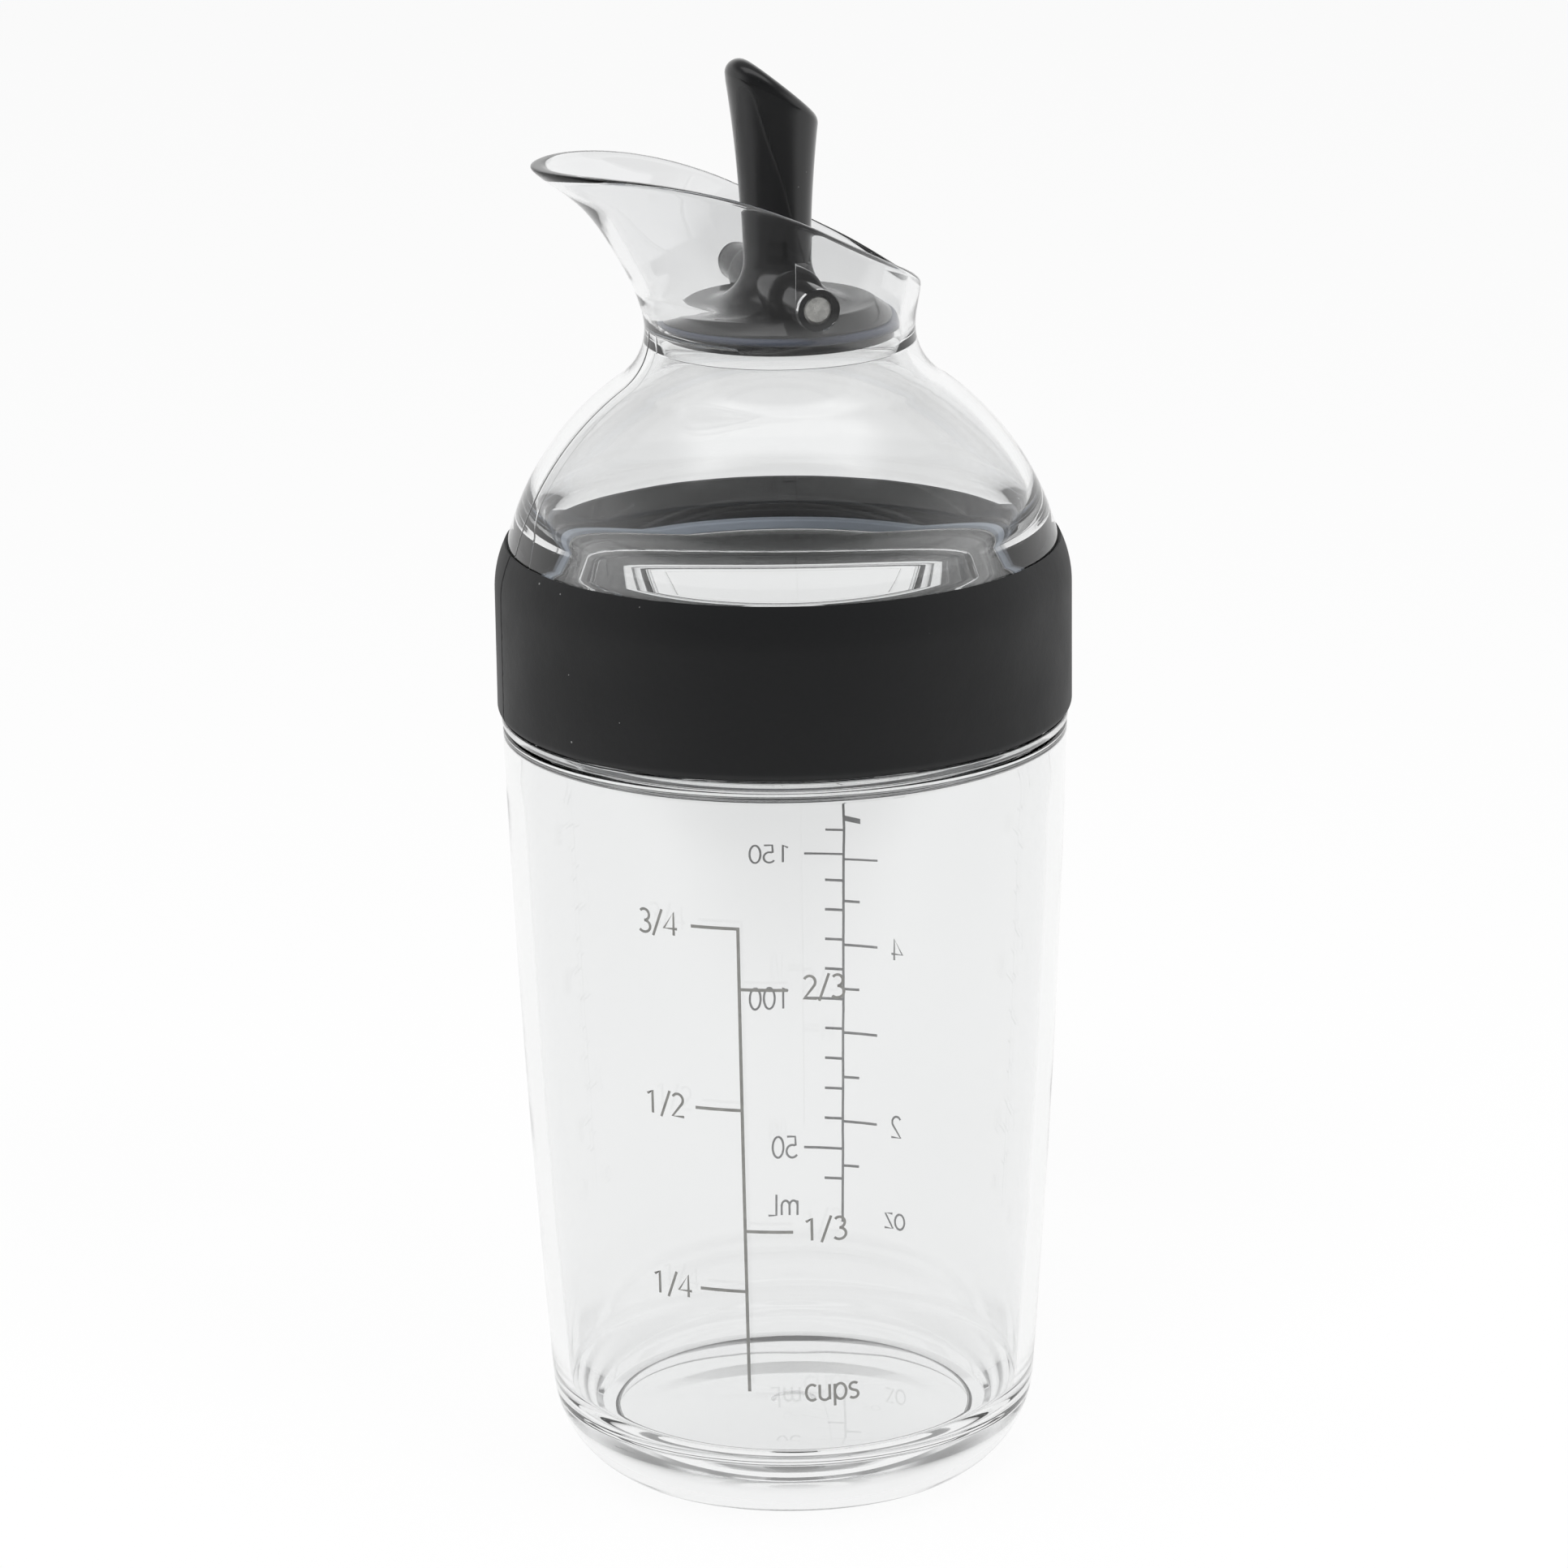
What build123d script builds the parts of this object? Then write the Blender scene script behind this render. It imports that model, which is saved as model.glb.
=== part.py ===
from build123d import *
import math
import os

# Salad dressing shaker bottle, in millimetres.
# The origin is on the bottle's axis at the surface it stands on, and +Z is up.
# The spout points along -X and the lever's pin lies along Y.

# Tumbler, outside
shoulder_radius = 33.43
shoulder_height = 91.5
side_taper = 4.23
wall_bulge = 0.49
bend_height = 9.5
foot_inset = 5.27
foot_land = 2.1
foot_recess = 1.2
foot_recess_inset = 0.3

# Tumbler, inside and mouth
tumbler_wall = 2.0
floor_height = 6.9
floor_corner = 4.0
mouth_inset = 5.43
finish_wall = 1.8
finish_ramp_drop = 0.7
finish_ramp_height = 0.4
finish_height = 15.9
rim_round = 0.6
shoulder_round = 0.5

# Thread between the tumbler and the lid
thread_lead = 5.0
thread_depth = 0.8
thread_crest = 1.4
thread_flank = 0.8
thread_root = 0.3
thread_clearance = 0.3
thread_rise = 4.9
thread_turns = 0.95

# Lid: skirt, dome and neck
lid_gap = 0.35
lid_lip_overhang = 0.1
lid_lip_height = 1.1
skirt_wall = 1.5
gasket_room = 1.3
dome_swell = 1.1
dome_centre_drop = 2.37
dome_wall = 1.55
dome_inner_round = 9.0
throat_step = 1.2
neck_radius = 15.81
neck_fillet = 7.73
seat_land = 2.2
rim_edge_round = 0.6

# Spout: sections from the neck up to the height of its tallest one
spout_rise = 22.0
spout_setback = 2.23
spout_side_change = -0.31
spout_rear_reach = 2.69
spout_wall = 1.6
spout_lip_wall = 2.3
section_height_share = [0.0, 0.15, 0.30, 0.45, 0.60, 0.75, 0.90, 1.0]
front_growth_share = [0.0, 0.043, 0.13, 0.25, 0.387, 0.582, 0.859, 1.0]
side_growth_share = [0.0, -1.6, -2.2, -1.9, -0.9, 0.2, 0.8, 1.0]
rear_growth_share = [0.0, 0.16, 0.35, 0.52, 0.67, 0.81, 0.93, 1.0]

# Spout rim above the neck: a curved fall at the back, a straight slope and an arch to the lip
rim_rear_rise = -0.2
rim_rear_margin = 2.5
rim_tail_setback = 4.81
rim_tail_rise = 8.18
rim_break_rise = 13.89
rim_arch_setback = 4.7
rim_arch_rise = 20.59

# Grip band
band_fit = 0.05
band_thickness = 1.58
band_bottom_round = 1.1
band_straight = 15.0
band_top_edge = 0.25

# Lid gasket
gasket_fit = 0.05
gasket_inset = 0.15
gasket_side_gap = 0.3

# Hinge of the lever, its pin and the bearings in the spout's wall
pin_rise = 4.89
pin_offset = -0.6
pin_radius = 1.65
pin_fit = 0.02
pin_chamfer = 0.3
pin_end_inset = 0.05
trunnion_radius = 2.4
trunnion_clearance = 0.07
trunnion_inset = 0.36
trunnion_end_gap = 0.3
collar_radius = 3.4
collar_inset = 7.8
bearing_slot_rise = 5.5

# Lever: stem and knob, measured up from the pin
lever_offset = -0.3
stem_radius = 4.0
stem_flare = 5.0
knob_mid_swell = 0.74
knob_mid_rise = 16.5
knob_top_swell = 2.75
knob_face_rise = 23.7
knob_face_slope = 40.5
knob_head_room = 1.0
knob_edge_round = 1.4
side_pocket_width = 2.4
side_pocket_height = 2.7
side_pocket_sink = 0.2
side_pocket_depth = 0.8

# Stopper cap under the stem
cap_top_drop = 1.8
cap_height = 1.7
cap_inset = 0.96
cap_top_inset = 3.0
cap_side_height = 0.3
cap_edge_round = 0.8
cap_socket_inset = 2.76
cap_socket_depth = 0.95

# Stopper seal and its retainer
seal_fit = 0.05
seal_thickness = 0.9
seal_inset = 0.11
swing_clearance = 0.16
retainer_inset = 0.96
retainer_thickness = 1.25
retainer_edge_round = 0.35
retainer_dish_inset = 5.26
retainer_dish_depth = 0.4

# Enough for every cut to run past the surface that it cuts, and what counts as touching
overrun = 2.0
touching = 0.01

# Tumbler sizes that follow from the ones above
bend_radius = shoulder_radius - side_taper
foot_radius = bend_radius - foot_inset
mouth_radius = shoulder_radius - mouth_inset
finish_radius = mouth_radius + finish_wall
rim_height = shoulder_height + finish_height
thread_start = rim_height - thread_rise - thread_lead * thread_turns
ridge_spacing = thread_lead / 2

# Lid sizes that follow
lid_lip_radius = shoulder_radius + lid_lip_overhang
skirt_inner_radius = finish_radius + thread_depth + thread_clearance
skirt_bottom = shoulder_height + lid_gap
ledge_height = rim_height + gasket_room
band_seat_radius = skirt_inner_radius + skirt_wall
band_radius = band_seat_radius + band_thickness
band_bottom = skirt_bottom + lid_lip_height
dome_radius = band_seat_radius + dome_swell
dome_centre_height = rim_height - dome_centre_drop
band_top = dome_centre_height + math.sqrt(dome_radius**2 - band_seat_radius**2)
dome_inner_radius = dome_radius - dome_wall
throat_radius = mouth_radius + throat_step
inner_wall_top = dome_centre_height + math.sqrt(dome_inner_radius**2 - throat_radius**2)
neck_fillet_reach = neck_radius + neck_fillet
neck_height = dome_centre_height + math.sqrt((dome_radius + neck_fillet) ** 2 - neck_fillet_reach**2)
neck_bore_radius = neck_radius - dome_wall
spout_front = shoulder_radius - spout_setback
spout_side = neck_radius + spout_side_change
spout_rear = neck_radius + spout_rear_reach

# Lever, stopper and seal sizes that follow
pin_height = neck_height + pin_rise
trunnion_half_length = neck_radius - trunnion_inset
collar_half_length = neck_radius - collar_inset
knob_mid_radius = stem_radius + knob_mid_swell
knob_top_radius = stem_radius + knob_top_swell
knob_face_drop = knob_top_radius * math.tan(math.radians(knob_face_slope))
knob_top_height = pin_height + knob_face_rise + knob_face_drop + knob_head_room
cap_top_height = pin_height - cap_top_drop
cap_bottom_height = cap_top_height - cap_height
cap_radius = neck_bore_radius - cap_inset
cap_top_radius = neck_bore_radius - cap_top_inset
cap_socket_radius = neck_bore_radius - cap_socket_inset
retainer_radius = neck_bore_radius - retainer_inset
seal_radius = neck_bore_radius - seal_inset
seal_top = cap_bottom_height - seal_fit
seal_bottom = seal_top - seal_thickness
swing_radius = math.hypot(
    seal_radius - seal_thickness / 2,
    pin_height - (seal_top + seal_bottom) / 2,
) + seal_thickness / 2 + swing_clearance


def wall_radius_at(height):
    """Outer radius of the tumbler's side: a straight taper with a slight belly."""
    share = (height - bend_height) / (shoulder_height - bend_height)
    taper = bend_radius + (shoulder_radius - bend_radius) * share
    return taper + 4 * wall_bulge * share * (1 - share)


def arc_about(centre, start, end):
    """Arc from start to end that bends round a centre, both ends being equally far from it."""
    centre, start, end = Vector(*centre), Vector(*start), Vector(*end)
    radius = (start - centre).length
    middle = centre + ((start - centre) + (end - centre)).normalized() * radius
    return ThreePointArc(start, middle, end)


def tangent_point(radius):
    """Where the dome's arc of this radius meets the neck's fillet, as radius and height."""
    reach = dome_radius + neck_fillet
    return (
        neck_fillet_reach * radius / reach,
        dome_centre_height + (neck_height - dome_centre_height) * radius / reach,
    )


def lies_on(edge, outline):
    """Whether an edge, seen from the side, runs along one of the outline's lines."""
    seen = [Vector(point.X, point.Z, 0) for point in (edge @ 0, edge @ 0.5, edge @ 1)]
    return any(all(line.distance_to(point) < touching for point in seen) for line in outline)


def spout_section(height, front, side, rear):
    """Egg-shaped face: half an ellipse towards the lip and half an ellipse towards the back."""
    with BuildSketch(Plane.XY.offset(height)) as section:
        with BuildLine():
            EllipticalCenterArc((0, 0), front, side, start_angle=90, arc_size=180)
            EllipticalCenterArc((0, 0), rear, side, start_angle=270, arc_size=180)
        make_face()
    return section.sketch


def spout_sections(neck, front_wall, side_wall):
    """The spout's sections, drawn in by a wall that thickens towards the lip."""
    sections = []
    for level, ahead, beside, behind in zip(
        section_height_share, front_growth_share, side_growth_share, rear_growth_share
    ):
        sections.append(
            spout_section(
                neck_height + spout_rise * level,
                neck + (spout_front - front_wall - neck) * ahead,
                neck + (spout_side - side_wall - neck) * beside,
                neck + (spout_rear - side_wall - neck) * behind,
            )
        )
    return sections


# Tumbler
with BuildPart() as tumbler:
    with BuildSketch(Plane.XZ):
        with BuildLine():
            middle_height = (bend_height + shoulder_height) / 2
            outer_side = ThreePointArc(
                (bend_radius, bend_height),
                (wall_radius_at(middle_height), middle_height),
                (shoulder_radius, shoulder_height),
            )
            TangentArc(outer_side @ 0, (foot_radius, 0), tangent=outer_side % 0 * -1)
            foot_inner = foot_radius - foot_land
            Polyline(
                (foot_radius, 0),
                (foot_inner, 0),
                (foot_inner - foot_recess_inset, foot_recess),
                (0, foot_recess),
                (0, floor_height),
            )
            inner_start = floor_height + floor_corner
            inner_top = shoulder_height - finish_ramp_drop
            inner_end = inner_top - finish_ramp_height
            inner_middle = (inner_start + inner_end) / 2
            inner_side = ThreePointArc(
                (wall_radius_at(inner_start) - tumbler_wall, inner_start),
                (wall_radius_at(inner_middle) - tumbler_wall, inner_middle),
                (wall_radius_at(inner_end) - tumbler_wall, inner_end),
            )
            corner = TangentArc(
                inner_side @ 0,
                (wall_radius_at(inner_start) - tumbler_wall - floor_corner, floor_height),
                tangent=inner_side % 0 * -1,
            )
            Line((0, floor_height), corner @ 1)
            Polyline(
                inner_side @ 1,
                (mouth_radius, inner_top),
                (mouth_radius, rim_height),
                (finish_radius, rim_height),
                (finish_radius, shoulder_height),
                (shoulder_radius, shoulder_height),
            )
        make_face()
    revolve(axis=Axis.Z)
    fillet(tumbler.edges().filter_by(GeomType.CIRCLE).group_by(Axis.Z)[-1], radius=rim_round)
    shoulder_edge = tumbler.edges().filter_by(GeomType.CIRCLE).filter_by(
        lambda edge: abs(edge.radius - shoulder_radius) < shoulder_round
    )
    fillet(shoulder_edge, radius=shoulder_round)
    # Outside thread: one ridge that climbs anticlockwise seen from above
    with BuildLine(mode=Mode.PRIVATE) as tumbler_helix:
        Helix(
            thread_lead,
            thread_lead * thread_turns,
            finish_radius,
            center=(0, 0, thread_start),
        )
    ridge_plane = Plane(tumbler_helix.line @ 0, x_dir=(1, 0, 0), z_dir=tumbler_helix.line % 0)
    with BuildSketch(ridge_plane):
        with BuildLine():
            root_half = thread_crest / 2 + thread_flank * (thread_depth + thread_root) / thread_depth
            Polyline(
                (-thread_root, -root_half),
                (thread_depth, -thread_crest / 2),
                (thread_depth, thread_crest / 2),
                (-thread_root, root_half),
                close=True,
            )
        make_face()
    sweep(path=tumbler_helix.line, is_frenet=True)
tumbler.part.label = "tumbler"

# Lid shell
with BuildPart() as lid_shell:
    with BuildSketch(Plane.XZ):
        with BuildLine():
            dome_foot = (band_seat_radius, band_top)
            dome_head = tangent_point(dome_radius)
            Polyline(
                (0, skirt_bottom),
                (lid_lip_radius, skirt_bottom),
                (lid_lip_radius, band_bottom),
                (band_seat_radius, band_bottom),
                dome_foot,
            )
            arc_about((0, dome_centre_height), dome_foot, dome_head)
            arc_about((neck_fillet_reach, neck_height), dome_head, (neck_radius, neck_height))
            Polyline((neck_radius, neck_height), (0, neck_height), (0, skirt_bottom))
        make_face()
    revolve(axis=Axis.Z)
    loft(spout_sections(neck_radius, 0, 0))
    # Inside of the skirt, dome and neck, with a land that the stopper closes in
    with BuildSketch(Plane.XZ) as hollow:
        with BuildLine():
            seat_bottom = neck_height - seat_land
            inner_fillet = neck_fillet + dome_wall
            land_reach = neck_fillet_reach - math.sqrt(inner_fillet**2 - seat_land**2)
            inner_head = tangent_point(dome_inner_radius)
            inner_foot = (throat_radius, inner_wall_top)
            Polyline(
                (0, skirt_bottom - overrun),
                (skirt_inner_radius, skirt_bottom - overrun),
                (skirt_inner_radius, ledge_height),
                (throat_radius, ledge_height),
                inner_foot,
            )
            arc_about((0, dome_centre_height), inner_foot, inner_head)
            arc_about((neck_fillet_reach, neck_height), inner_head, (land_reach, seat_bottom))
            Polyline(
                (land_reach, seat_bottom),
                (neck_bore_radius, seat_bottom),
                (neck_bore_radius, neck_height),
                (0, neck_height),
                (0, skirt_bottom - overrun),
            )
        make_face()
        fillet(hollow.vertices().sort_by_distance(Vector(*inner_foot))[0], radius=dome_inner_round)
    revolve(axis=Axis.Z, mode=Mode.SUBTRACT)
    loft(spout_sections(neck_bore_radius, spout_lip_wall, spout_wall), mode=Mode.SUBTRACT)
    # Room for the stopper's rim, which swings on a sphere about the pin
    with Locations((pin_offset, 0, pin_height)):
        Sphere(swing_radius, mode=Mode.SUBTRACT)
        Cylinder(
            trunnion_radius + trunnion_clearance,
            2 * (trunnion_half_length + trunnion_end_gap),
            rotation=(90, 0, 0),
            mode=Mode.SUBTRACT,
        )
    with BuildSketch(Plane.XY.offset(pin_height)):
        with Locations((pin_offset, 0)):
            Rectangle(
                2 * (trunnion_radius + trunnion_clearance),
                2 * (trunnion_half_length + trunnion_end_gap),
            )
    extrude(amount=bearing_slot_rise, mode=Mode.SUBTRACT)
    # The rim is cut to one outline seen from the side
    with BuildSketch(Plane.XZ):
        with BuildLine():
            rim_rear = (spout_rear + rim_rear_margin, neck_height + rim_rear_rise)
            tail_start = (neck_radius - rim_tail_setback, neck_height + rim_tail_rise)
            slope = Line(tail_start, (0, neck_height + rim_break_rise))
            tail = TangentArc(slope @ 0, rim_rear, tangent=slope % 0 * -1)
            arch_end = (rim_arch_setback - spout_front, neck_height + rim_arch_rise)
            arch = TangentArc(slope @ 1, arch_end, tangent=slope % 1)
            beyond = spout_front + overrun
            above = neck_height + spout_rise + overrun
            lip = Line(arch @ 1, (-beyond, neck_height + rim_arch_rise))
            Polyline(
                lip @ 1,
                (-beyond, above),
                (spout_rear + rim_rear_margin, above),
                tail @ 1,
            )
        make_face()
    extrude(amount=beyond, both=True, mode=Mode.SUBTRACT)
    rim_edges = lid_shell.edges().filter_by(Axis.Y, reverse=True).filter_by(
        lambda edge: lies_on(edge, (tail, slope, arch, lip))
    )
    fillet(rim_edges, radius=rim_edge_round)
    # Inside thread: it lies midway between the turns of the tumbler's ridge
    with BuildLine(mode=Mode.PRIVATE) as lid_helix:
        Helix(
            thread_lead,
            thread_lead * thread_turns,
            skirt_inner_radius,
            center=(0, 0, thread_start - ridge_spacing),
        )
    groove_plane = Plane(lid_helix.line @ 0, x_dir=(1, 0, 0), z_dir=lid_helix.line % 0)
    with BuildSketch(groove_plane):
        with BuildLine():
            Polyline(
                (thread_root, -root_half),
                (-thread_depth, -thread_crest / 2),
                (-thread_depth, thread_crest / 2),
                (thread_root, root_half),
                close=True,
            )
        make_face()
    sweep(path=lid_helix.line, is_frenet=True)
lid_shell.part.label = "lid_shell"

# Grip band
with BuildPart() as grip_band:
    with BuildSketch(Plane.XZ):
        with BuildLine():
            band_inner = band_seat_radius + band_fit
            low = band_bottom + band_fit
            high = band_top - band_fit
            bottom_corner = arc_about(
                (band_radius - band_bottom_round, low + band_bottom_round),
                (band_radius - band_bottom_round, low),
                (band_radius, low + band_bottom_round),
            )
            side = Line((band_radius, low + band_bottom_round), (band_radius, low + band_straight))
            TangentArc(side @ 1, (band_inner + band_top_edge, high), tangent=side % 1)
            Polyline(
                (band_inner + band_top_edge, high),
                (band_inner, high),
                (band_inner, low),
                bottom_corner @ 0,
            )
        make_face()
    revolve(axis=Axis.Z)
grip_band.part.label = "grip_band"

# Lid gasket
with BuildPart() as lid_gasket:
    with BuildSketch(Plane.XY.offset(rim_height + gasket_fit)):
        Circle(skirt_inner_radius - gasket_side_gap)
        Circle(mouth_radius + gasket_inset, mode=Mode.SUBTRACT)
    extrude(amount=gasket_room - 2 * gasket_fit)
lid_gasket.part.label = "lid_gasket"

# Pour lever: knob, stem, trunnion arms and stopper cap in one moulding
with BuildPart() as pour_lever:
    with BuildSketch(Plane.XZ):
        with BuildLine():
            Polyline(
                (0, cap_bottom_height),
                (cap_radius, cap_bottom_height),
                (cap_radius, cap_bottom_height + cap_side_height),
                (cap_top_radius, cap_top_height),
                (0, cap_top_height),
                close=True,
            )
        make_face()
    revolve(axis=Axis.Z)
    fillet(pour_lever.edges().filter_by(GeomType.CIRCLE).sort_by(Axis.Z)[-1], radius=cap_edge_round)
    with BuildSketch(Plane.XZ):
        with BuildLine():
            flare_top = cap_top_height + stem_flare
            flare_foot = lever_offset + stem_radius + stem_flare
            Polyline(
                (lever_offset, cap_bottom_height),
                (flare_foot, cap_bottom_height),
                (flare_foot, cap_top_height),
            )
            arc_about(
                (flare_foot, flare_top),
                (flare_foot, cap_top_height),
                (lever_offset + stem_radius, flare_top),
            )
            ThreePointArc(
                (lever_offset + stem_radius, flare_top),
                (lever_offset + knob_mid_radius, pin_height + knob_mid_rise),
                (lever_offset + knob_top_radius, knob_top_height),
            )
            Polyline(
                (lever_offset + knob_top_radius, knob_top_height),
                (lever_offset, knob_top_height),
                (lever_offset, cap_bottom_height),
            )
        make_face()
    revolve(axis=Axis((lever_offset, 0, 0), (0, 0, 1)))
    face_tilt = math.radians(knob_face_slope)
    knob_face = Plane(
        origin=(lever_offset, 0, pin_height + knob_face_rise),
        x_dir=(0, 1, 0),
        z_dir=(math.sin(face_tilt), 0, math.cos(face_tilt)),
    )
    split(bisect_by=knob_face, keep=Keep.BOTTOM)
    top_face = pour_lever.faces().filter_by(knob_face)
    fillet(top_face.edges(), radius=knob_edge_round)
    with Locations((pin_offset, 0, pin_height)):
        Cylinder(trunnion_radius, 2 * trunnion_half_length, rotation=(90, 0, 0))
        Cylinder(collar_radius, 2 * collar_half_length, rotation=(90, 0, 0))
        Cylinder(
            pin_radius + pin_fit,
            2 * (trunnion_half_length + overrun),
            rotation=(90, 0, 0),
            mode=Mode.SUBTRACT,
        )
    # Socket under the cap for the retainer's spigot
    with BuildSketch(Plane.XY.offset(cap_bottom_height - overrun)):
        Circle(cap_socket_radius)
    extrude(amount=overrun + cap_socket_depth, mode=Mode.SUBTRACT)
    # Moulding pockets just above the arms' collars, one on each side of the stem
    pocket_middle = pin_height + collar_radius - side_pocket_sink + side_pocket_height / 2
    with Locations(
        (pin_offset, stem_radius + stem_flare / 2 - side_pocket_depth / 2, pocket_middle),
        (pin_offset, -stem_radius - stem_flare / 2 + side_pocket_depth / 2, pocket_middle),
    ):
        Box(
            side_pocket_width,
            stem_flare + side_pocket_depth,
            side_pocket_height,
            mode=Mode.SUBTRACT,
        )
pour_lever.part.label = "pour_lever"

# Hinge pin
with BuildPart() as hinge_pin:
    with BuildSketch(Plane.XZ.offset(pin_end_inset - trunnion_half_length)):
        with Locations((pin_offset, pin_height)):
            Circle(pin_radius)
    extrude(amount=2 * (trunnion_half_length - pin_end_inset))
    chamfer(hinge_pin.edges().filter_by(GeomType.CIRCLE), length=pin_chamfer)
hinge_pin.part.label = "hinge_pin"

# Stopper seal: a flat ring with a round lip
with BuildPart() as stopper_seal:
    with BuildSketch(Plane.XZ):
        with BuildLine():
            lip_reach = seal_radius - seal_thickness / 2
            lower_lip = arc_about(
                (lip_reach, (seal_bottom + seal_top) / 2),
                (lip_reach, seal_bottom),
                (lip_reach + seal_thickness / 2, (seal_bottom + seal_top) / 2),
            )
            arc_about(
                (lip_reach, (seal_bottom + seal_top) / 2),
                lower_lip @ 1,
                (lip_reach, seal_top),
            )
            Polyline(
                (lip_reach, seal_top),
                (cap_socket_radius, seal_top),
                (cap_socket_radius, seal_bottom),
                (lip_reach, seal_bottom),
            )
        make_face()
    revolve(axis=Axis.Z)
stopper_seal.part.label = "stopper_seal"

# Seal retainer: a disc whose spigot is held in the cap's socket
with BuildPart() as seal_retainer:
    with BuildSketch(Plane.XY.offset(seal_bottom - seal_fit)):
        Circle(retainer_radius)
    extrude(amount=-retainer_thickness)
    fillet(seal_retainer.edges().sort_by(Axis.Z)[0], radius=retainer_edge_round)
    with BuildSketch(Plane.XY.offset(seal_bottom - seal_fit)):
        Circle(cap_socket_radius - seal_fit)
    extrude(amount=seal_thickness + 2 * seal_fit + cap_socket_depth - seal_fit)
    with BuildSketch(Plane.XY.offset(seal_bottom - seal_fit - retainer_thickness)):
        Circle(neck_bore_radius - retainer_dish_inset)
    extrude(amount=retainer_dish_depth, mode=Mode.SUBTRACT)
seal_retainer.part.label = "seal_retainer"

os.makedirs("parts", exist_ok=True)
for piece in (
    tumbler,
    lid_shell,
    grip_band,
    lid_gasket,
    pour_lever,
    hinge_pin,
    stopper_seal,
    seal_retainer,
):
    export_step(piece.part, f"parts/{piece.part.label}.step")
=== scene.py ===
"""Looks of the dressing shaker bottle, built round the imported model.

The clear tumbler and lid, the rubber band, the gasket, the lever and its stopper are smooth
surfaces worked out from the same sizes as the solids, and the measuring scales are thin ink.
Lengths are in millimetres until a mesh is made, which is in metres.
"""

from __future__ import annotations

import logging
import math
from dataclasses import dataclass, field
from enum import Enum

import bpy
import numpy as np
from mathutils import Matrix, Vector

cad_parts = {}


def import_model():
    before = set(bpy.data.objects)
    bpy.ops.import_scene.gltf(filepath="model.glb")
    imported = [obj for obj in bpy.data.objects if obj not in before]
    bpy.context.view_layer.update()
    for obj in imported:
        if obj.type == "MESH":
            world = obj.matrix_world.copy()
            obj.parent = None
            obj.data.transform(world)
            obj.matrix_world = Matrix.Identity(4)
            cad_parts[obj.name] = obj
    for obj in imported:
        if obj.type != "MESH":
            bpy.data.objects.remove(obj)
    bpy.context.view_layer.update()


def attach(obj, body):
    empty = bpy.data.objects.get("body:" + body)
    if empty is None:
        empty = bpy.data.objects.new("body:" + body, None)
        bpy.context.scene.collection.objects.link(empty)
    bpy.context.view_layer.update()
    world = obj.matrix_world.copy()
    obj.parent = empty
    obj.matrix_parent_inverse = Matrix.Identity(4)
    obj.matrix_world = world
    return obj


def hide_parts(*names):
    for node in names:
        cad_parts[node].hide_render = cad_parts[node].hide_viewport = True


LOG = logging.getLogger("bottle")
MM = 0.001
CLEAR = (0.918, 0.922, 0.922)
# Painted shade: a greyer tint that the lid takes above a height, standing in for the darker
# surroundings that the spout's walls reflect.
SPOUT_PAINTED_SHADE = (0.882, 0.886, 0.889)


class Slot(Enum):
    """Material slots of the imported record."""

    TUMBLER = "tumbler_clear"
    LID = "lid_clear"
    BAND = "band_rubber"
    GASKET = "gasket_silicone"
    LEVER = "lever_black"
    PIN = "pin_steel"
    SEAL = "seal_silicone"
    RETAINER = "retainer_black"


class Body(Enum):
    """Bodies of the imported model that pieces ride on."""

    TUMBLER = "tumbler"
    GASKET = "gasket"
    LID = "lid"
    LEVER = "lever"


# Curves and surfaces


def arc_angles(centre: np.ndarray, start: np.ndarray, end: np.ndarray, steps: int) -> np.ndarray:
    """Angles that lead from start to end about a centre by the shorter way round.

    Args:
        centre: Centre of the arc.
        start: First point.
        end: Last point.
        steps: Number of parts.

    Returns:
        The angles in radians.
    """
    first = math.atan2(*(start - centre)[::-1])
    last = math.atan2(*(end - centre)[::-1])
    turn = (last - first + math.pi) % (2 * math.pi) - math.pi
    return first + turn * np.linspace(0, 1, steps + 1)


def arc_about(centre: tuple, start: tuple, end: tuple, steps: int = 16) -> np.ndarray:
    """Points of the circle about a centre, from start to end.

    Args:
        centre: Centre of the arc.
        start: First point, which sets the radius.
        end: Last point.
        steps: Number of parts.

    Returns:
        The points: centre plus radius times the cosine and sine of each angle.
    """
    middle, first, last = (np.array(p, float) for p in (centre, start, end))
    angle = arc_angles(middle, first, last, steps)
    radius = np.linalg.norm(first - middle)
    return middle + radius * np.stack((np.cos(angle), np.sin(angle)), axis=1)


def arc_through(start: tuple, middle: tuple, end: tuple, steps: int = 16) -> np.ndarray:
    """Points of the circle through three points.

    Args:
        start: First point.
        middle: A point on the way.
        end: Last point.
        steps: Number of parts.

    Returns:
        The points. The centre is equally far from all three, which is two linear equations.
    """
    a, m, b = (np.array(p, float) for p in (start, middle, end))
    sides = 2 * np.stack((m - a, b - a))
    centre = np.linalg.solve(sides, np.array([m @ m - a @ a, b @ b - a @ a]))
    return arc_about(tuple(centre), start, end, steps)


def tangent_arc(start: tuple, direction: tuple, end: tuple, steps: int = 16) -> np.ndarray:
    """Points of the circle that leaves start in a direction and reaches end.

    Args:
        start: First point.
        direction: Direction at the first point.
        end: Last point.
        steps: Number of parts.

    Returns:
        The points. The centre lies on the normal at start, as far from end as from start.
    """
    a, b, d = (np.array(p, float) for p in (start, end, direction))
    normal = np.array([-d[1], d[0]]) / np.linalg.norm(d)
    reach = (b - a) @ (b - a) / (2 * normal @ (b - a))
    return arc_about(tuple(a + normal * reach), start, end, steps)


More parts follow.
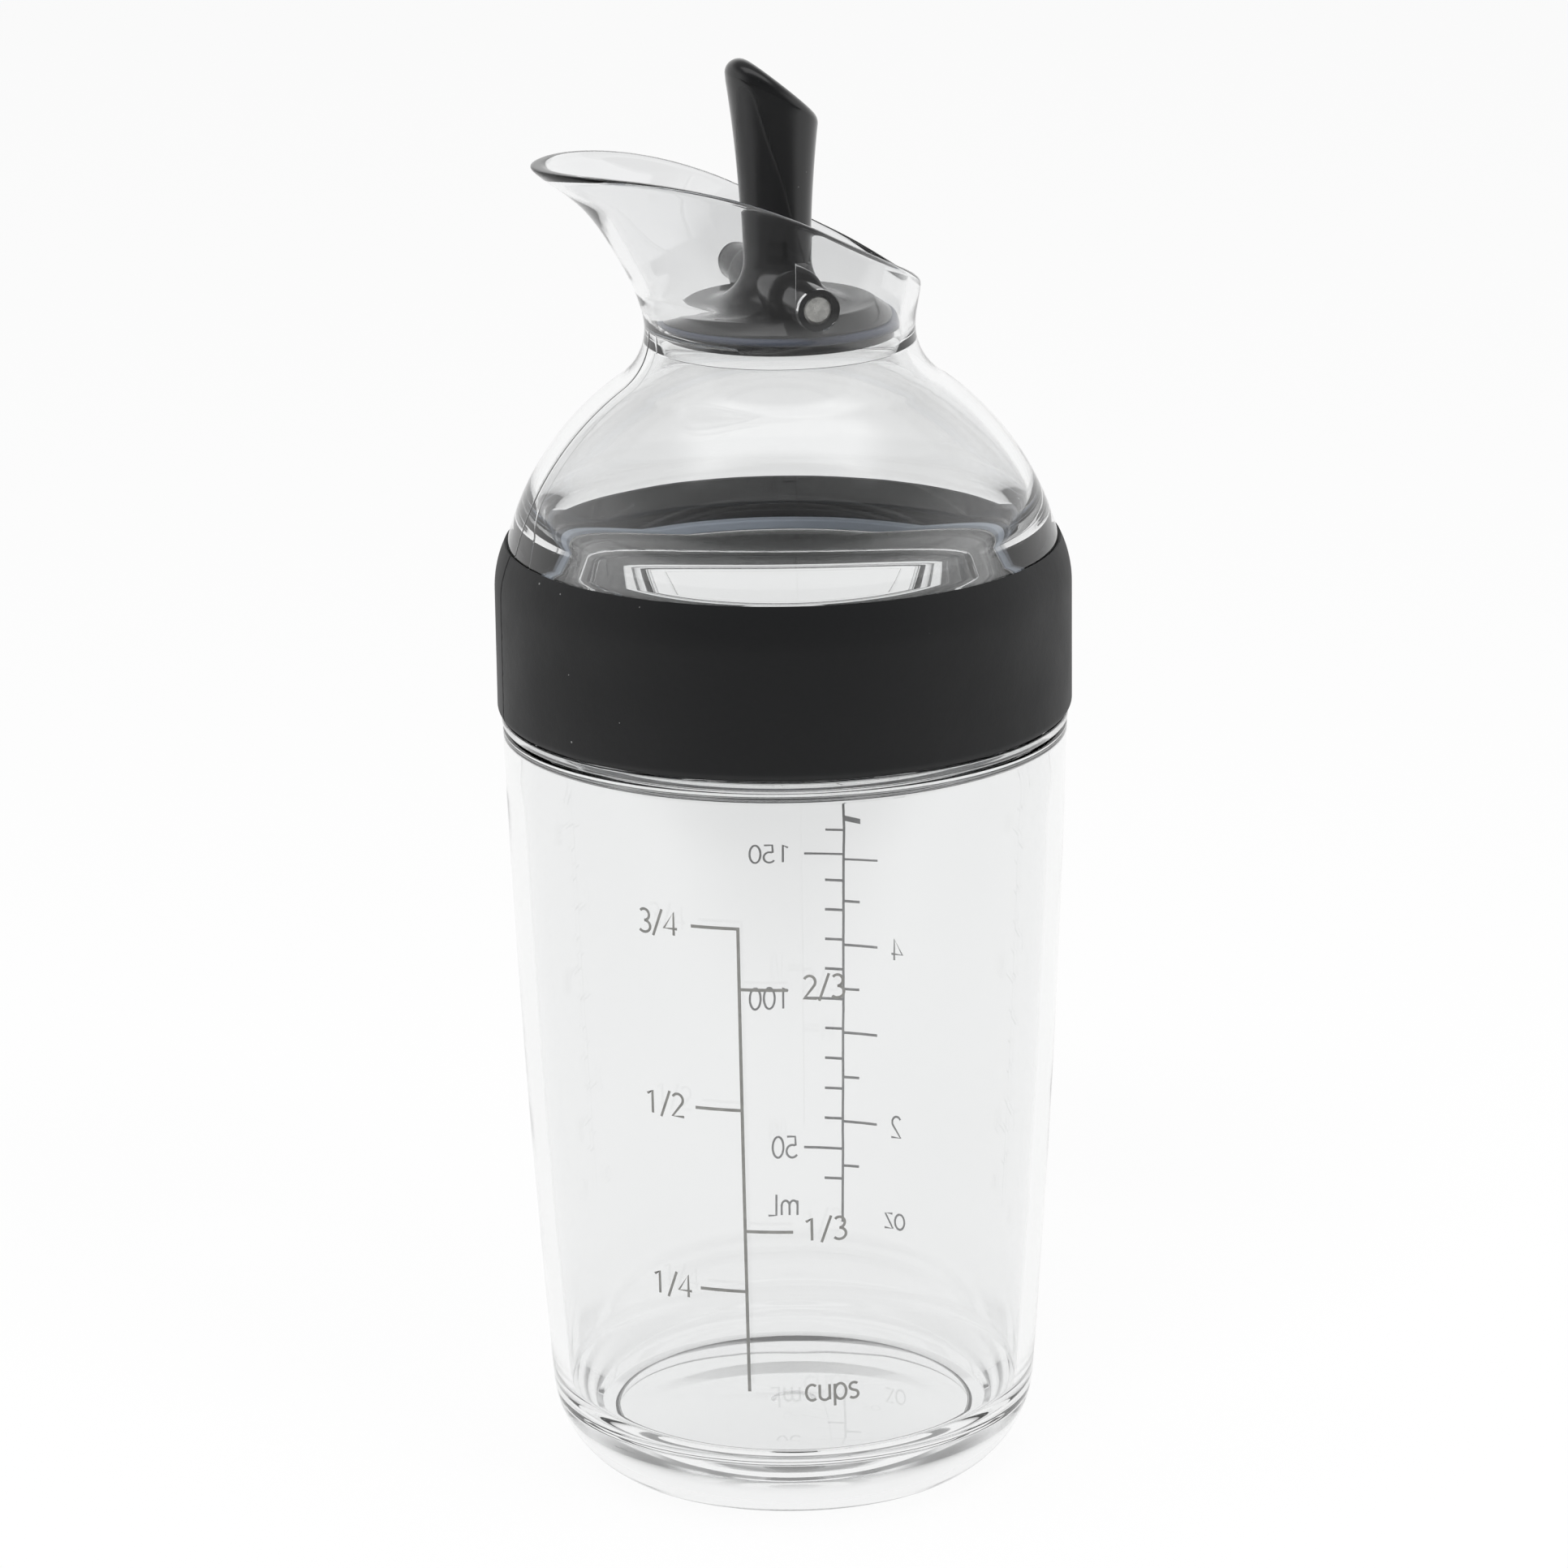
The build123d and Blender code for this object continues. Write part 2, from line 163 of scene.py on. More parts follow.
def rounded(corners: list[tuple[float, float, float]], steps: int = 6) -> np.ndarray:
    """A line through corners that are rounded by tangent arcs.

    Args:
        corners: Each corner as its two coordinates and its radius.
        steps: Number of parts of each round.

    Returns:
        The points. A round starts and ends its radius over the tangent of half the corner away.
    """
    points = [np.array(corners[0][:2], float)[None]]
    for before, corner, after in zip(corners, corners[1:], corners[2:]):
        here = np.array(corner[:2], float)
        back = np.array(before[:2], float) - here
        ahead = np.array(after[:2], float) - here
        back, ahead = back / np.linalg.norm(back), ahead / np.linalg.norm(ahead)
        half = math.acos(float(np.clip(back @ ahead, -1, 1))) / 2
        if corner[2] <= 0 or half > math.pi / 2 - 1e-3:
            points.append(here[None])
            continue
        cut = corner[2] / math.tan(half)
        middle = here + (back + ahead) / np.linalg.norm(back + ahead) * corner[2] / math.sin(half)
        first, last = here + back * cut, here + ahead * cut
        points.append(arc_about(tuple(middle), tuple(first), tuple(last), steps))
    points.append(np.array(corners[-1][:2], float)[None])
    return np.vstack(points)


def chained(*parts: np.ndarray) -> np.ndarray:
    """One line from several that meet end to end, without the doubled points."""
    line = np.vstack(parts)
    apart = np.linalg.norm(np.diff(line, axis=0), axis=1) > 1e-5
    return line[np.concatenate(([True], apart))]


def divided(start: tuple, end: tuple, step: float) -> np.ndarray:
    """A straight line divided into equal parts about a step long."""
    a, b = np.array(start, float), np.array(end, float)
    parts = max(1, round(float(np.linalg.norm(b - a)) / step))
    return a + (b - a) * np.linspace(0, 1, parts + 1)[:, None]


def spline(knots: np.ndarray, values: np.ndarray, at: np.ndarray) -> np.ndarray:
    """A smooth curve through values at knots, level at its start and free at its end.

    Args:
        knots: Increasing positions.
        values: Value at each.
        at: Positions to read.

    Returns:
        The values there. The slopes solve the usual equations of a cubic spline, and each stretch
        is the Hermite cubic of its two values and slopes.
    """
    gap = np.diff(knots)
    rise = np.diff(values) / gap
    count = len(knots)
    system, wanted = np.zeros((count, count)), np.zeros(count)
    system[0, 0] = 1.0
    inner = np.arange(1, count - 1)
    system[inner, inner - 1] = gap[1:]
    system[inner, inner] = 2 * (gap[:-1] + gap[1:])
    system[inner, inner + 1] = gap[:-1]
    wanted[inner] = 3 * (gap[1:] * rise[:-1] + gap[:-1] * rise[1:])
    system[-1, -2:] = (1.0, 2.0)
    wanted[-1] = 3 * rise[-1]
    slope = np.linalg.solve(system, wanted)
    place = np.clip(np.searchsorted(knots, at, side="right") - 1, 0, count - 2)
    width = gap[place]
    share = (at - knots[place]) / width
    return (
        values[place] * (1 + 2 * share) * (1 - share) ** 2
        + values[place + 1] * share**2 * (3 - 2 * share)
        + width * slope[place] * share * (1 - share) ** 2
        - width * slope[place + 1] * share**2 * (1 - share)
    )


@dataclass
class Shell:
    """A surface in millimetres: points, and the quads and triangles between them."""

    points: np.ndarray
    quads: np.ndarray
    triangles: np.ndarray = field(default_factory=lambda: np.zeros((0, 3), int))

    @staticmethod
    def joined(shells: list[Shell]) -> Shell:
        """Several shells as one, each keeping its own points."""
        starts = np.cumsum([0] + [len(s.points) for s in shells[:-1]])
        return Shell(
            np.vstack([s.points for s in shells]),
            np.vstack([s.quads + n for s, n in zip(shells, starts)]),
            np.vstack([s.triangles + n for s, n in zip(shells, starts)]),
        )

    def mesh(self, name: str, sharp: float = 32.0) -> bpy.types.Mesh:
        """The surface as a Blender mesh in metres.

        Args:
            name: Name of the mesh.
            sharp: Angle in degrees above which an edge is left sharp.

        Returns:
            The mesh, smooth but for its sharp edges.
        """
        made = bpy.data.meshes.new(name)
        corners = np.concatenate((self.quads.ravel(), self.triangles.ravel()))
        sides = np.repeat((4, 3), (len(self.quads), len(self.triangles)))
        made.vertices.add(len(self.points))
        made.vertices.foreach_set("co", (self.points * MM).astype(np.float32).ravel())
        made.loops.add(len(corners))
        made.loops.foreach_set("vertex_index", corners.astype(np.int32))
        made.polygons.add(len(sides))
        starts = np.concatenate(([0], np.cumsum(sides)[:-1]))
        made.polygons.foreach_set("loop_start", starts.astype(np.int32))
        made.polygons.foreach_set("use_smooth", np.ones(len(sides), bool))
        made.update(calc_edges=True)
        made.validate()
        made.set_sharp_from_angle(angle=math.radians(sharp))
        return made


def skin(rings: np.ndarray, looped: bool = False, foot: bool = False, head: bool = False) -> Shell:
    """Quads over rings of points that run anticlockwise seen from above.

    Args:
        rings: Rows, columns and coordinates. Rows go up the outside and down the inside.
        looped: Whether the last row joins the first.
        foot: Whether the first row closes to a point at its middle.
        head: Whether the last row closes to a point at its middle.

    Returns:
        The shell, which faces outwards.
    """
    rows, columns = rings.shape[:2]
    index = np.arange(rows * columns).reshape(rows, columns)
    lower = index if looped else index[:-1]
    upper = np.roll(index, -1, axis=0) if looped else index[1:]
    quads = np.stack(
        (lower, np.roll(lower, -1, axis=1), np.roll(upper, -1, axis=1), upper), axis=-1
    ).reshape(-1, 4)
    points = [rings.reshape(-1, 3)]
    fans = []
    pole = rows * columns
    for wanted, row in ((foot, index[0]), (head, index[-1])):
        if not wanted:
            continue
        points.append(rings.reshape(-1, 3)[row].mean(axis=0)[None])
        ahead = np.roll(row, -1)
        pair = (ahead, row) if row[0] == 0 else (row, ahead)
        fans.append(np.stack((np.full(columns, pole), *pair), axis=-1))
        pole += 1
    triangles = np.vstack(fans) if fans else np.zeros((0, 3), int)
    return Shell(np.vstack(points), quads, triangles)


def even_angles(count: int) -> np.ndarray:
    """Angles all round, evenly spaced."""
    return np.arange(count) * 2 * math.pi / count


def turned(profile: np.ndarray, angles: np.ndarray) -> np.ndarray:
    """Rings of a profile turned about Z: radius times cosine and sine, and the height."""
    radius, height = profile[:, 0, None], profile[:, 1, None]
    return np.stack(
        (radius * np.cos(angles), radius * np.sin(angles), height + 0 * angles), axis=-1
    )


def laid_along_y(points: np.ndarray, x: float, z: float) -> np.ndarray:
    """Points made about Z, laid down so that their axis runs along Y through x and z."""
    return np.stack((points[..., 0] + x, -points[..., 2], points[..., 1] + z), axis=-1)


# Sizes shared by the pieces


@dataclass(frozen=True)
class Sizes:
    """The bottle's sizes, the same as those of its solids."""

    shoulder: float = 33.43
    shoulder_height: float = 91.5
    bend: float = 29.2
    bend_height: float = 9.5
    bulge: float = 0.49
    foot: float = 23.93
    mouth: float = 28.0
    finish: float = 29.8
    rim_height: float = 107.4
    thread_lead: float = 5.0
    thread_turns: float = 0.95
    thread_depth: float = 0.8
    thread_start: float = 97.75
    thread_crest: float = 0.7
    thread_flank: float = 0.8
    thread_fade: float = 0.02
    skirt_inner: float = 30.9
    skirt_bottom: float = 91.85
    ledge: float = 108.7
    band_seat: float = 32.4
    band_bottom: float = 92.95
    band: float = 33.98
    dome: float = 33.5
    dome_centre: float = 105.03
    dome_wall: float = 1.55
    neck: float = 15.81
    neck_fillet: float = 7.73
    pin_x: float = -0.6
    pin_z: float = 143.77
    lever_x: float = -0.3

    @property
    def fillet_reach(self) -> float:
        """Distance of the neck fillet's centre from the axis."""
        return self.neck + self.neck_fillet

    @property
    def neck_height(self) -> float:
        """Height of the neck's narrowest ring."""
        between = self.dome + self.neck_fillet
        return self.dome_centre + math.sqrt(between**2 - self.fillet_reach**2)

    @property
    def band_top(self) -> float:
        """Height at which the band's seat meets the dome."""
        return self.dome_centre + math.sqrt(self.dome**2 - self.band_seat**2)

    @property
    def bore(self) -> float:
        """Radius of the neck's bore."""
        return self.neck - self.dome_wall

    def tangent_point(self, radius: float) -> tuple[float, float]:
        """Where a dome arc of this radius meets the neck's fillet."""
        share = radius / (self.dome + self.neck_fillet)
        rise = (self.neck_height - self.dome_centre) * share
        return self.fillet_reach * share, self.dome_centre + rise

    def wall(self, height: float | np.ndarray) -> float | np.ndarray:
        """Outer radius of the tumbler's side: a straight taper with a slight belly."""
        share = (height - self.bend_height) / (self.shoulder_height - self.bend_height)
        taper = self.bend + (self.shoulder - self.bend) * share
        return taper + 4 * self.bulge * share * (1 - share)

    def thread(self, angles: np.ndarray, heights: np.ndarray, drop: float) -> np.ndarray:
        """How far a thread's ridge stands out of its wall.

        Args:
            angles: Angles round the axis.
            heights: Heights on the wall.
            drop: How far this ridge lies below the tumbler's.

        Returns:
            The ridge's height: full over its crest, falling along its flanks, fading at its ends.
        """
        turns = (angles % (2 * math.pi)) / (2 * math.pi)
        away = np.abs(heights - (self.thread_start - drop + self.thread_lead * turns))
        ridge = np.clip((self.thread_crest + self.thread_flank - away) / self.thread_flank, 0, 1)
        left = self.thread_turns - turns
        ends = np.clip(turns / self.thread_fade, 0, 1) * np.clip(left / self.thread_fade, 0, 1)
        return self.thread_depth * ridge * ends


SIZES = Sizes()


def circled(profile: np.ndarray, angles: np.ndarray, bump: np.ndarray | float = 0.0) -> np.ndarray:
    """Rings of a profile turned about Z whose radius grows by a bump at each row and column."""
    rings = turned(profile, angles)
    outward = np.stack((np.cos(angles), np.sin(angles), 0 * angles), axis=-1)
    return rings + outward * np.broadcast_to(bump, rings.shape[:2])[..., None]


def clustered_angles(count: int, middle: float, reach: float, extra: int) -> np.ndarray:
    """Angles all round with a closer bunch of them about one angle.

    Args:
        count: Number of even angles.
        middle: Angle that the bunch lies about.
        reach: Half the angle that the bunch spans.
        extra: Number of angles in the bunch.

    Returns:
        The angles in order, none doubled.
    """
    even = even_angles(count)
    even = even[np.abs(even - middle) > reach * 1.1]
    return np.sort(np.concatenate((even, middle + reach * np.linspace(-1, 1, extra))))


# Pieces and how they are placed


@dataclass
class Piece:
    """One visible piece: its surface, its finish and what it stands for."""

    name: str
    shell: Shell
    body: Body
    slot: Slot
    material: bpy.types.Material
    stands_for: str | None = None
    sharp: float = 32.0
    added: tuple[Shell, ...] = ()
    cut: tuple[Shell, ...] = ()

    def place(self) -> bpy.types.Object:
        """Make the object, join and cut its shape, and tie it to its body."""
        thing = solid(self.name, self.shell, self.sharp)
        for operation, shells in (("UNION", self.added), ("DIFFERENCE", self.cut)):
            for shell in shells:
                carve(thing, shell, operation, self.sharp)
        thing.data.materials.clear()
        thing.data.materials.append(self.material)
        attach(thing, self.body.value)
        if self.stands_for:
            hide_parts(self.stands_for)
        LOG.info("%s: %d faces, rides on %s", self.name, len(thing.data.polygons), self.body.value)
        return thing


def solid(name: str, shell: Shell, sharp: float = 32.0) -> bpy.types.Object:
    """An object of a shell, in the scene."""
    thing = bpy.data.objects.new(name, shell.mesh(name, sharp))
    bpy.context.scene.collection.objects.link(thing)
    return thing


def carve(thing: bpy.types.Object, shell: Shell, operation: str, sharp: float) -> None:
    """Join a shell to an object or cut it out, and keep the result as the object's mesh.

    Args:
        thing: The object, whose mesh is replaced.
        shell: The shape that is joined or cut out.
        operation: UNION or DIFFERENCE.
        sharp: Angle in degrees above which an edge is left sharp.
    """
    tool = solid(f"{thing.name}_tool", shell)
    boolean = thing.modifiers.new("carve", "BOOLEAN")
    boolean.operation = operation
    boolean.solver = "MANIFOLD"
    boolean.object = tool
    shape = bpy.data.meshes.new_from_object(
        thing.evaluated_get(bpy.context.evaluated_depsgraph_get())
    )
    thing.modifiers.remove(boolean)
    old, thing.data = thing.data, shape
    shape.set_sharp_from_angle(angle=math.radians(sharp))
    used = tool.data
    bpy.data.objects.remove(tool)
    for mesh in (old, used):
        bpy.data.meshes.remove(mesh)


# Tumbler


@dataclass
class Tumbler:
    """The clear jar: foot ring, tapered side, threaded mouth and thick floor."""

    sizes: Sizes = SIZES
    columns: int = 256
    wall: float = 2.0
    floor: float = 6.9
    floor_corner: float = 4.0
    ramp_drop: float = 0.7
    ramp_height: float = 0.4
    ramp_round: float = 0.6
    foot_land: float = 2.1
    recess: float = 1.2
    recess_inset: float = 0.3
    gate: float = 2.7
    gate_depth: float = 0.55
    edge_round: float = 0.6
    thread_step: float = 0.17
    axis_gap: float = 0.4
    recess_round: float = 0.3
    land_round: float = 0.35
    foot_round: float = 0.8
    shoulder_round: float = 0.5
    finish_round: float = 0.4
    finish_land: float = 1.0
    finish_end: float = 0.8
    mouth_land: float = 3.0
    floor_gap: float = 0.5
    floor_step: float = 3.0

    def foot_lines(self) -> np.ndarray:
        """The underside: gate dimple, recess, foot ring and the bend up to the side."""
        s = self.sizes
        inner = s.foot - self.foot_land
        side = self.side_line()
        start = side[1] - side[0]
        bend = tangent_arc(tuple(side[0]), tuple(-start), (s.foot, 0.0), 24)[::-1]
        dimple = self.recess + self.gate_depth
        under = rounded(
            [
                (self.axis_gap, dimple, 0),
                (self.gate - self.gate_depth, dimple, self.recess_round),
                (self.gate, self.recess, self.recess_round),
                (inner - self.recess_inset, self.recess, self.recess_round),
                (inner, 0.0, self.land_round),
                (s.foot, 0.0, self.foot_round),
                (*bend[4], 0),
            ]
        )
        return chained(under, bend[4:])

    def side_line(self) -> np.ndarray:
        """The outer side, an arc from the bend to the shoulder."""
        s = self.sizes
        middle = (s.bend_height + s.shoulder_height) / 2
        return arc_through(
            (s.bend, s.bend_height), (s.wall(middle), middle), (s.shoulder, s.shoulder_height), 40
        )

    def inside(self) -> np.ndarray:
        """The inside, from the mouth down the ramp and the side to the floor's middle."""
        s = self.sizes
        ramp_top = s.shoulder_height - self.ramp_drop
        ramp_low = ramp_top - self.ramp_height
        low = self.floor + self.floor_corner
        middle = (ramp_low + low) / 2
        side = arc_through(
            (s.wall(ramp_low) - self.wall, ramp_low),
            (s.wall(middle) - self.wall, middle),
            (s.wall(low) - self.wall, low),
            40,
        )
        corner_end = (side[-1, 0] - self.floor_corner, self.floor)
        corner = tangent_arc(tuple(side[-1]), tuple(side[-1] - side[-2]), corner_end, 20)
        ramp = rounded(
            [
                (s.mouth, s.rim_height - self.mouth_land, 0),
                (s.mouth, ramp_top, self.ramp_round),
                (*side[0], self.ramp_round),
                (*side[4], 0),
            ],
            8,
        )
        floor = divided(corner_end, (self.floor_gap, self.floor), self.floor_step)
        return chained(ramp, side[4:], corner, floor)

    def shell(self) -> Shell:
        """The whole jar, with the thread's ridge standing out of its mouth."""
        s = self.sizes
        angles = even_angles(self.columns)
        side = self.side_line()
        finish_foot = (s.finish, s.shoulder_height + self.finish_land)
        finish_head = (s.finish, s.rim_height - self.finish_end)
        shoulder = rounded(
            [
                (*side[-3], 0),
                (s.shoulder, s.shoulder_height, self.shoulder_round),
                (s.finish, s.shoulder_height, self.finish_round),
                (*finish_foot, 0),
            ]
        )
        lower = chained(self.foot_lines(), side[:-2], shoulder)
        outer = divided(finish_foot, finish_head, self.thread_step)
        rim = rounded(
            [
                (*finish_head, 0),
                (s.finish, s.rim_height, self.edge_round),
                (s.mouth, s.rim_height, self.edge_round),
                (s.mouth, s.rim_height - self.mouth_land, 0),
            ]
        )
        ridge = s.thread(angles[None], outer[:, 1, None], 0.0)
        rings = np.concatenate(
            (
                turned(lower[:-1], angles),
                circled(outer, angles, ridge),
                turned(chained(rim[1:], self.inside()[1:]), angles),
            )
        )
        return skin(rings, foot=True, head=True)


# Lid


@dataclass
class Lid:
    """The clear lid: threaded skirt, dome, neck and pouring spout in one moulding."""

    sizes: Sizes = SIZES
    columns: int = 256
    lip_radius: float = 33.53
    rise: float = 22.0
    front: float = 31.2
    side: float = 15.5
    rear: float = 18.5
    wall: float = 1.6
    lip_wall: float = 2.3
    rim_round: float = 0.78
    rear_rise: float = -0.2
    rear_margin: float = 2.5
    tail_start: tuple[float, float] = (11.0, 8.18)
    break_rise: float = 13.89
    arch_end: float = -26.5
    arch_rise: float = 20.59
    seat_land: float = 2.2
    throat: float = 29.2
    throat_round: float = 9.0
    thread_step: float = 0.24
    bore_step: float = 0.4
    swing: float = 14.882
    bearing: float = 2.47
    bearing_half: float = 15.75
    slot_rise: float = 5.5
    groove_half: float = 14.85
    seam_angle: float = math.radians(177.5)
    seam_height: float = 0.05
    seam_width: float = 0.12
    seam_reach: float = math.radians(0.6)
    skirt_edge: float = 32.0
    lip_round: float = 0.3
    lip_inner_round: float = 0.2
    ledge_round: float = 0.3
    ledge_land: float = 1.0
    levels: tuple[float, ...] = (0.0, 0.15, 0.30, 0.45, 0.60, 0.75, 0.90, 1.0)
    front_growth: tuple[float, ...] = (0.0, 0.043, 0.13, 0.25, 0.387, 0.582, 0.859, 1.0)
    side_growth: tuple[float, ...] = (0.0, -1.6, -2.2, -1.9, -0.9, 0.2, 0.8, 1.0)
    rear_growth: tuple[float, ...] = (0.0, 0.16, 0.35, 0.52, 0.67, 0.81, 0.93, 1.0)

    def section(self, angles: np.ndarray, heights: np.ndarray, inner: bool) -> np.ndarray:
        """Points of the spout's egg-shaped sections.

        Args:
            angles: Angles round the section.
            heights: Height of each point.
            inner: Whether it is the inner wall.

        Returns:
            The points: half an ellipse towards the lip and half an ellipse towards the back, whose
            three reaches grow with height along smooth curves.
        """
        s = self.sizes
        neck = s.bore if inner else s.neck
        walls = (self.lip_wall, self.wall, self.wall) if inner else (0.0, 0.0, 0.0)
        share = np.clip((heights - s.neck_height) / self.rise, 0, 1.2)
        ahead, beside, behind = (
            neck + (end - thin - neck) * spline(np.array(self.levels), np.array(growth), share)
            for end, thin, growth in zip(
                (self.front, self.side, self.rear),
                walls,
                (self.front_growth, self.side_growth, self.rear_growth),
            )
        )
        reach = np.where(np.cos(angles) < 0, ahead, behind)
        return np.stack((reach * np.cos(angles), beside * np.sin(angles), heights), axis=-1)

    @staticmethod
    def arc_height(
        x: np.ndarray, start: tuple[float, float], end: tuple[float, float], slope: float
    ) -> np.ndarray:
        """Height over each x of the arc that leaves its start with a slope and reaches its end."""
        normal = np.array([slope, -1.0]) / math.hypot(slope, 1.0)
        chord = np.array(end) - start
        radius = chord @ chord / (2 * normal @ chord)
        centre = start + normal * radius
        along = np.clip(x, min(start[0], end[0]), max(start[0], end[0]))
        return centre[1] + np.sqrt(np.maximum(radius**2 - (along - centre[0]) ** 2, 0))

    def outline(self, x: np.ndarray) -> np.ndarray:
        """Height of the rim over each x: an arc at the back, a slope, and an arc to the lip."""
        top = (0.0, self.break_rise)
        slope = (self.tail_start[1] - self.break_rise) / self.tail_start[0]
        arch = self.arc_height(x, top, (self.arch_end, self.arch_rise), slope)
        rear = (self.rear + self.rear_margin, self.rear_rise)
        tail = self.arc_height(x, self.tail_start, rear, slope)
        line = self.break_rise + slope * x
        rise = np.where(x < 0, arch, np.where(x > self.tail_start[0], tail, line))
        return self.sizes.neck_height + rise

    def corner_heights(self, angles: np.ndarray, inner: bool) -> np.ndarray:
        """Height at which each column of a wall meets the rim's outline, by halving."""
        low = np.full(angles.shape, self.sizes.neck_height)
        high = low + self.rise + 1.0
        for _ in range(40):
            middle = (low + high) / 2
            above = middle > self.outline(self.section(angles, middle, inner)[:, 0])
            low, high = np.where(above, low, middle), np.where(above, middle, high)
        return (low + high) / 2

    def rim(self, angles: np.ndarray) -> tuple[np.ndarray, np.ndarray, np.ndarray]:
        """The rim's rounded edge.

        Args:
            angles: Angles of the columns.

        Returns:
            The rows over the rim, and the heights where they leave the outer and inner walls.
            Each edge is the parabola between a point below it, the edge and a point on the land.
        """
        tops = [self.corner_heights(angles, inner) for inner in (False, True)]
        lows = [top - self.rim_round for top in tops]
        edges = [self.section(angles, top, inner) for top, inner in zip(tops, (False, True))]
        feet = [self.section(angles, low, inner) for low, inner in zip(lows, (False, True))]
        across = edges[1] - edges[0]
        across /= np.linalg.norm(across, axis=1, keepdims=True)
        rows = []
        share = np.linspace(0, 1, 7)[:, None, None]
        for edge, foot, turn in zip(edges, feet, (1.0, -1.0)):
            land = edge + across * self.rim_round * turn
            start, end = (foot, land) if turn > 0 else (land, foot)
            bent = (1 - share) ** 2 * start + 2 * share * (1 - share) * edge
            rows.append(bent + share**2 * end)
        return np.concatenate(rows), lows[0], lows[1]

    def outside(self, angles: np.ndarray) -> np.ndarray:
        """Rows of the skirt, the lip under the band, the dome and the neck's outer fillet."""
        s = self.sizes
        low = rounded(
            [
                (self.skirt_edge, s.skirt_bottom, 0),
                (self.lip_radius, s.skirt_bottom, self.lip_round),
                (self.lip_radius, s.band_bottom, self.lip_inner_round),
                (s.band_seat, s.band_bottom, 0),
            ]
        )
        head = s.tangent_point(s.dome)
        dome = arc_about((0, s.dome_centre), (s.band_seat, s.band_top), head, 30)
        fillet = arc_about((s.fillet_reach, s.neck_height), head, (s.neck, s.neck_height), 18)
        rise = chained(dome, fillet)
        away = (angles - self.seam_angle) * rise[:, 0, None]
        seam = self.seam_height * np.exp(-((away / self.seam_width) ** 2))
        return np.concatenate((turned(low, angles), circled(rise, angles, seam)))

    def inside(self, angles: np.ndarray) -> np.ndarray:
        """Rows of the bore's land, the inner dome, the ledge over the gasket and the thread."""
        s = self.sizes
        inner = s.dome - s.dome_wall
        seat = s.neck_height - self.seat_land
        fillet_radius = s.neck_fillet + s.dome_wall
        land = s.fillet_reach - math.sqrt(fillet_radius**2 - self.seat_land**2)
        head = s.tangent_point(inner)
        bend = self.throat - self.throat_round
        start = math.sqrt((inner - self.throat_round) ** 2 - bend**2)
        share = inner / (inner - self.throat_round)
        foot = (bend * share, s.dome_centre + start * share)
        middle = s.dome_centre + start
        throat = arc_about((bend, middle), foot, (self.throat, middle), 24)
        bore = divided((s.bore, s.neck_height), (s.bore, seat), self.bore_step)
        fillet = arc_about((s.fillet_reach, s.neck_height), (land, seat), head, 16)
        dome = arc_about((0, s.dome_centre), head, foot, 34)
        wall_head = (s.skirt_inner, s.ledge - self.ledge_land)
        ledge = rounded(
            [
                (*throat[-1], 0),
                (self.throat, s.ledge, self.ledge_round),
                (s.skirt_inner, s.ledge, self.ledge_round),
                (*wall_head, 0),
            ],
            8,
        )
        smooth = chained(bore, fillet, dome, throat, ledge)
        wall = divided(wall_head, (s.skirt_inner, s.skirt_bottom), self.thread_step)
        ridge = -s.thread(angles[None], wall[:, 1, None], s.thread_lead / 2)
        return np.concatenate((turned(smooth[1:-1], angles), circled(wall, angles, ridge)))

    def cleared(self, rings: np.ndarray) -> np.ndarray:
        """Rings pushed out of the sphere that the stopper's rim swings on."""
        s = self.sizes
        reach = np.sqrt(np.maximum(self.swing**2 - (rings[..., 2] - s.pin_z) ** 2, 0))
        x, y = rings[..., 0] - s.pin_x, rings[..., 1]
        push = np.maximum(reach / np.maximum(np.hypot(x, y), 1e-6), 1.0)
        return np.stack((s.pin_x + x * push, y * push, rings[..., 2]), axis=-1)

    def shell(self) -> Shell:
        """The whole lid, as rows up the outside and down the inside."""
        s = self.sizes
        angles = clustered_angles(self.columns, self.seam_angle, self.seam_reach, 9)
        rim, outer_top, inner_top = self.rim(angles)
        share = np.linspace(0, 1, 38)[1:-1, None]
        outer_heights = s.neck_height + share * (outer_top - s.neck_height)
        inner_heights = (s.neck_height + share * (inner_top - s.neck_height))[::-1]
        grid = np.broadcast_to(angles, outer_heights.shape)
        neck = self.section(angles, np.full(angles.shape, s.neck_height), True)[None]
        rings = np.concatenate(
            (
                self.outside(angles),
                self.section(grid, outer_heights, False),
                rim,
                self.cleared(self.section(grid, inner_heights, True)),
                neck,
                self.inside(angles),
            )
        )
        return skin(rings, looped=True)

    def bearings(self) -> tuple[Shell, Shell]:
        """The bearing pocket in each side of the spout's wall, and the groove above it.

        Returns:
            The round pocket, which is a full circle, and the shallow groove as wide as it.
        """
        s = self.sizes
        turn = -even_angles(64)
        hole = self.bearing * np.stack((np.cos(turn), np.sin(turn)), axis=1)
        groove = self.bearing * np.array([(1, 0), (-1, 0), (-1, 1), (1, 1)])
        groove[2:, 1] = self.slot_rise
        shells = []
        for edge, half in ((hole, self.bearing_half), (groove, self.groove_half)):
            face = np.stack(
                (s.pin_x + edge[:, 0], np.full(len(edge), -half), s.pin_z + edge[:, 1]), axis=1
            )
            shells.append(skin(np.stack((face, face * (1, -1, 1))), foot=True, head=True))
        return tuple(shells)


# Grip band and gasket


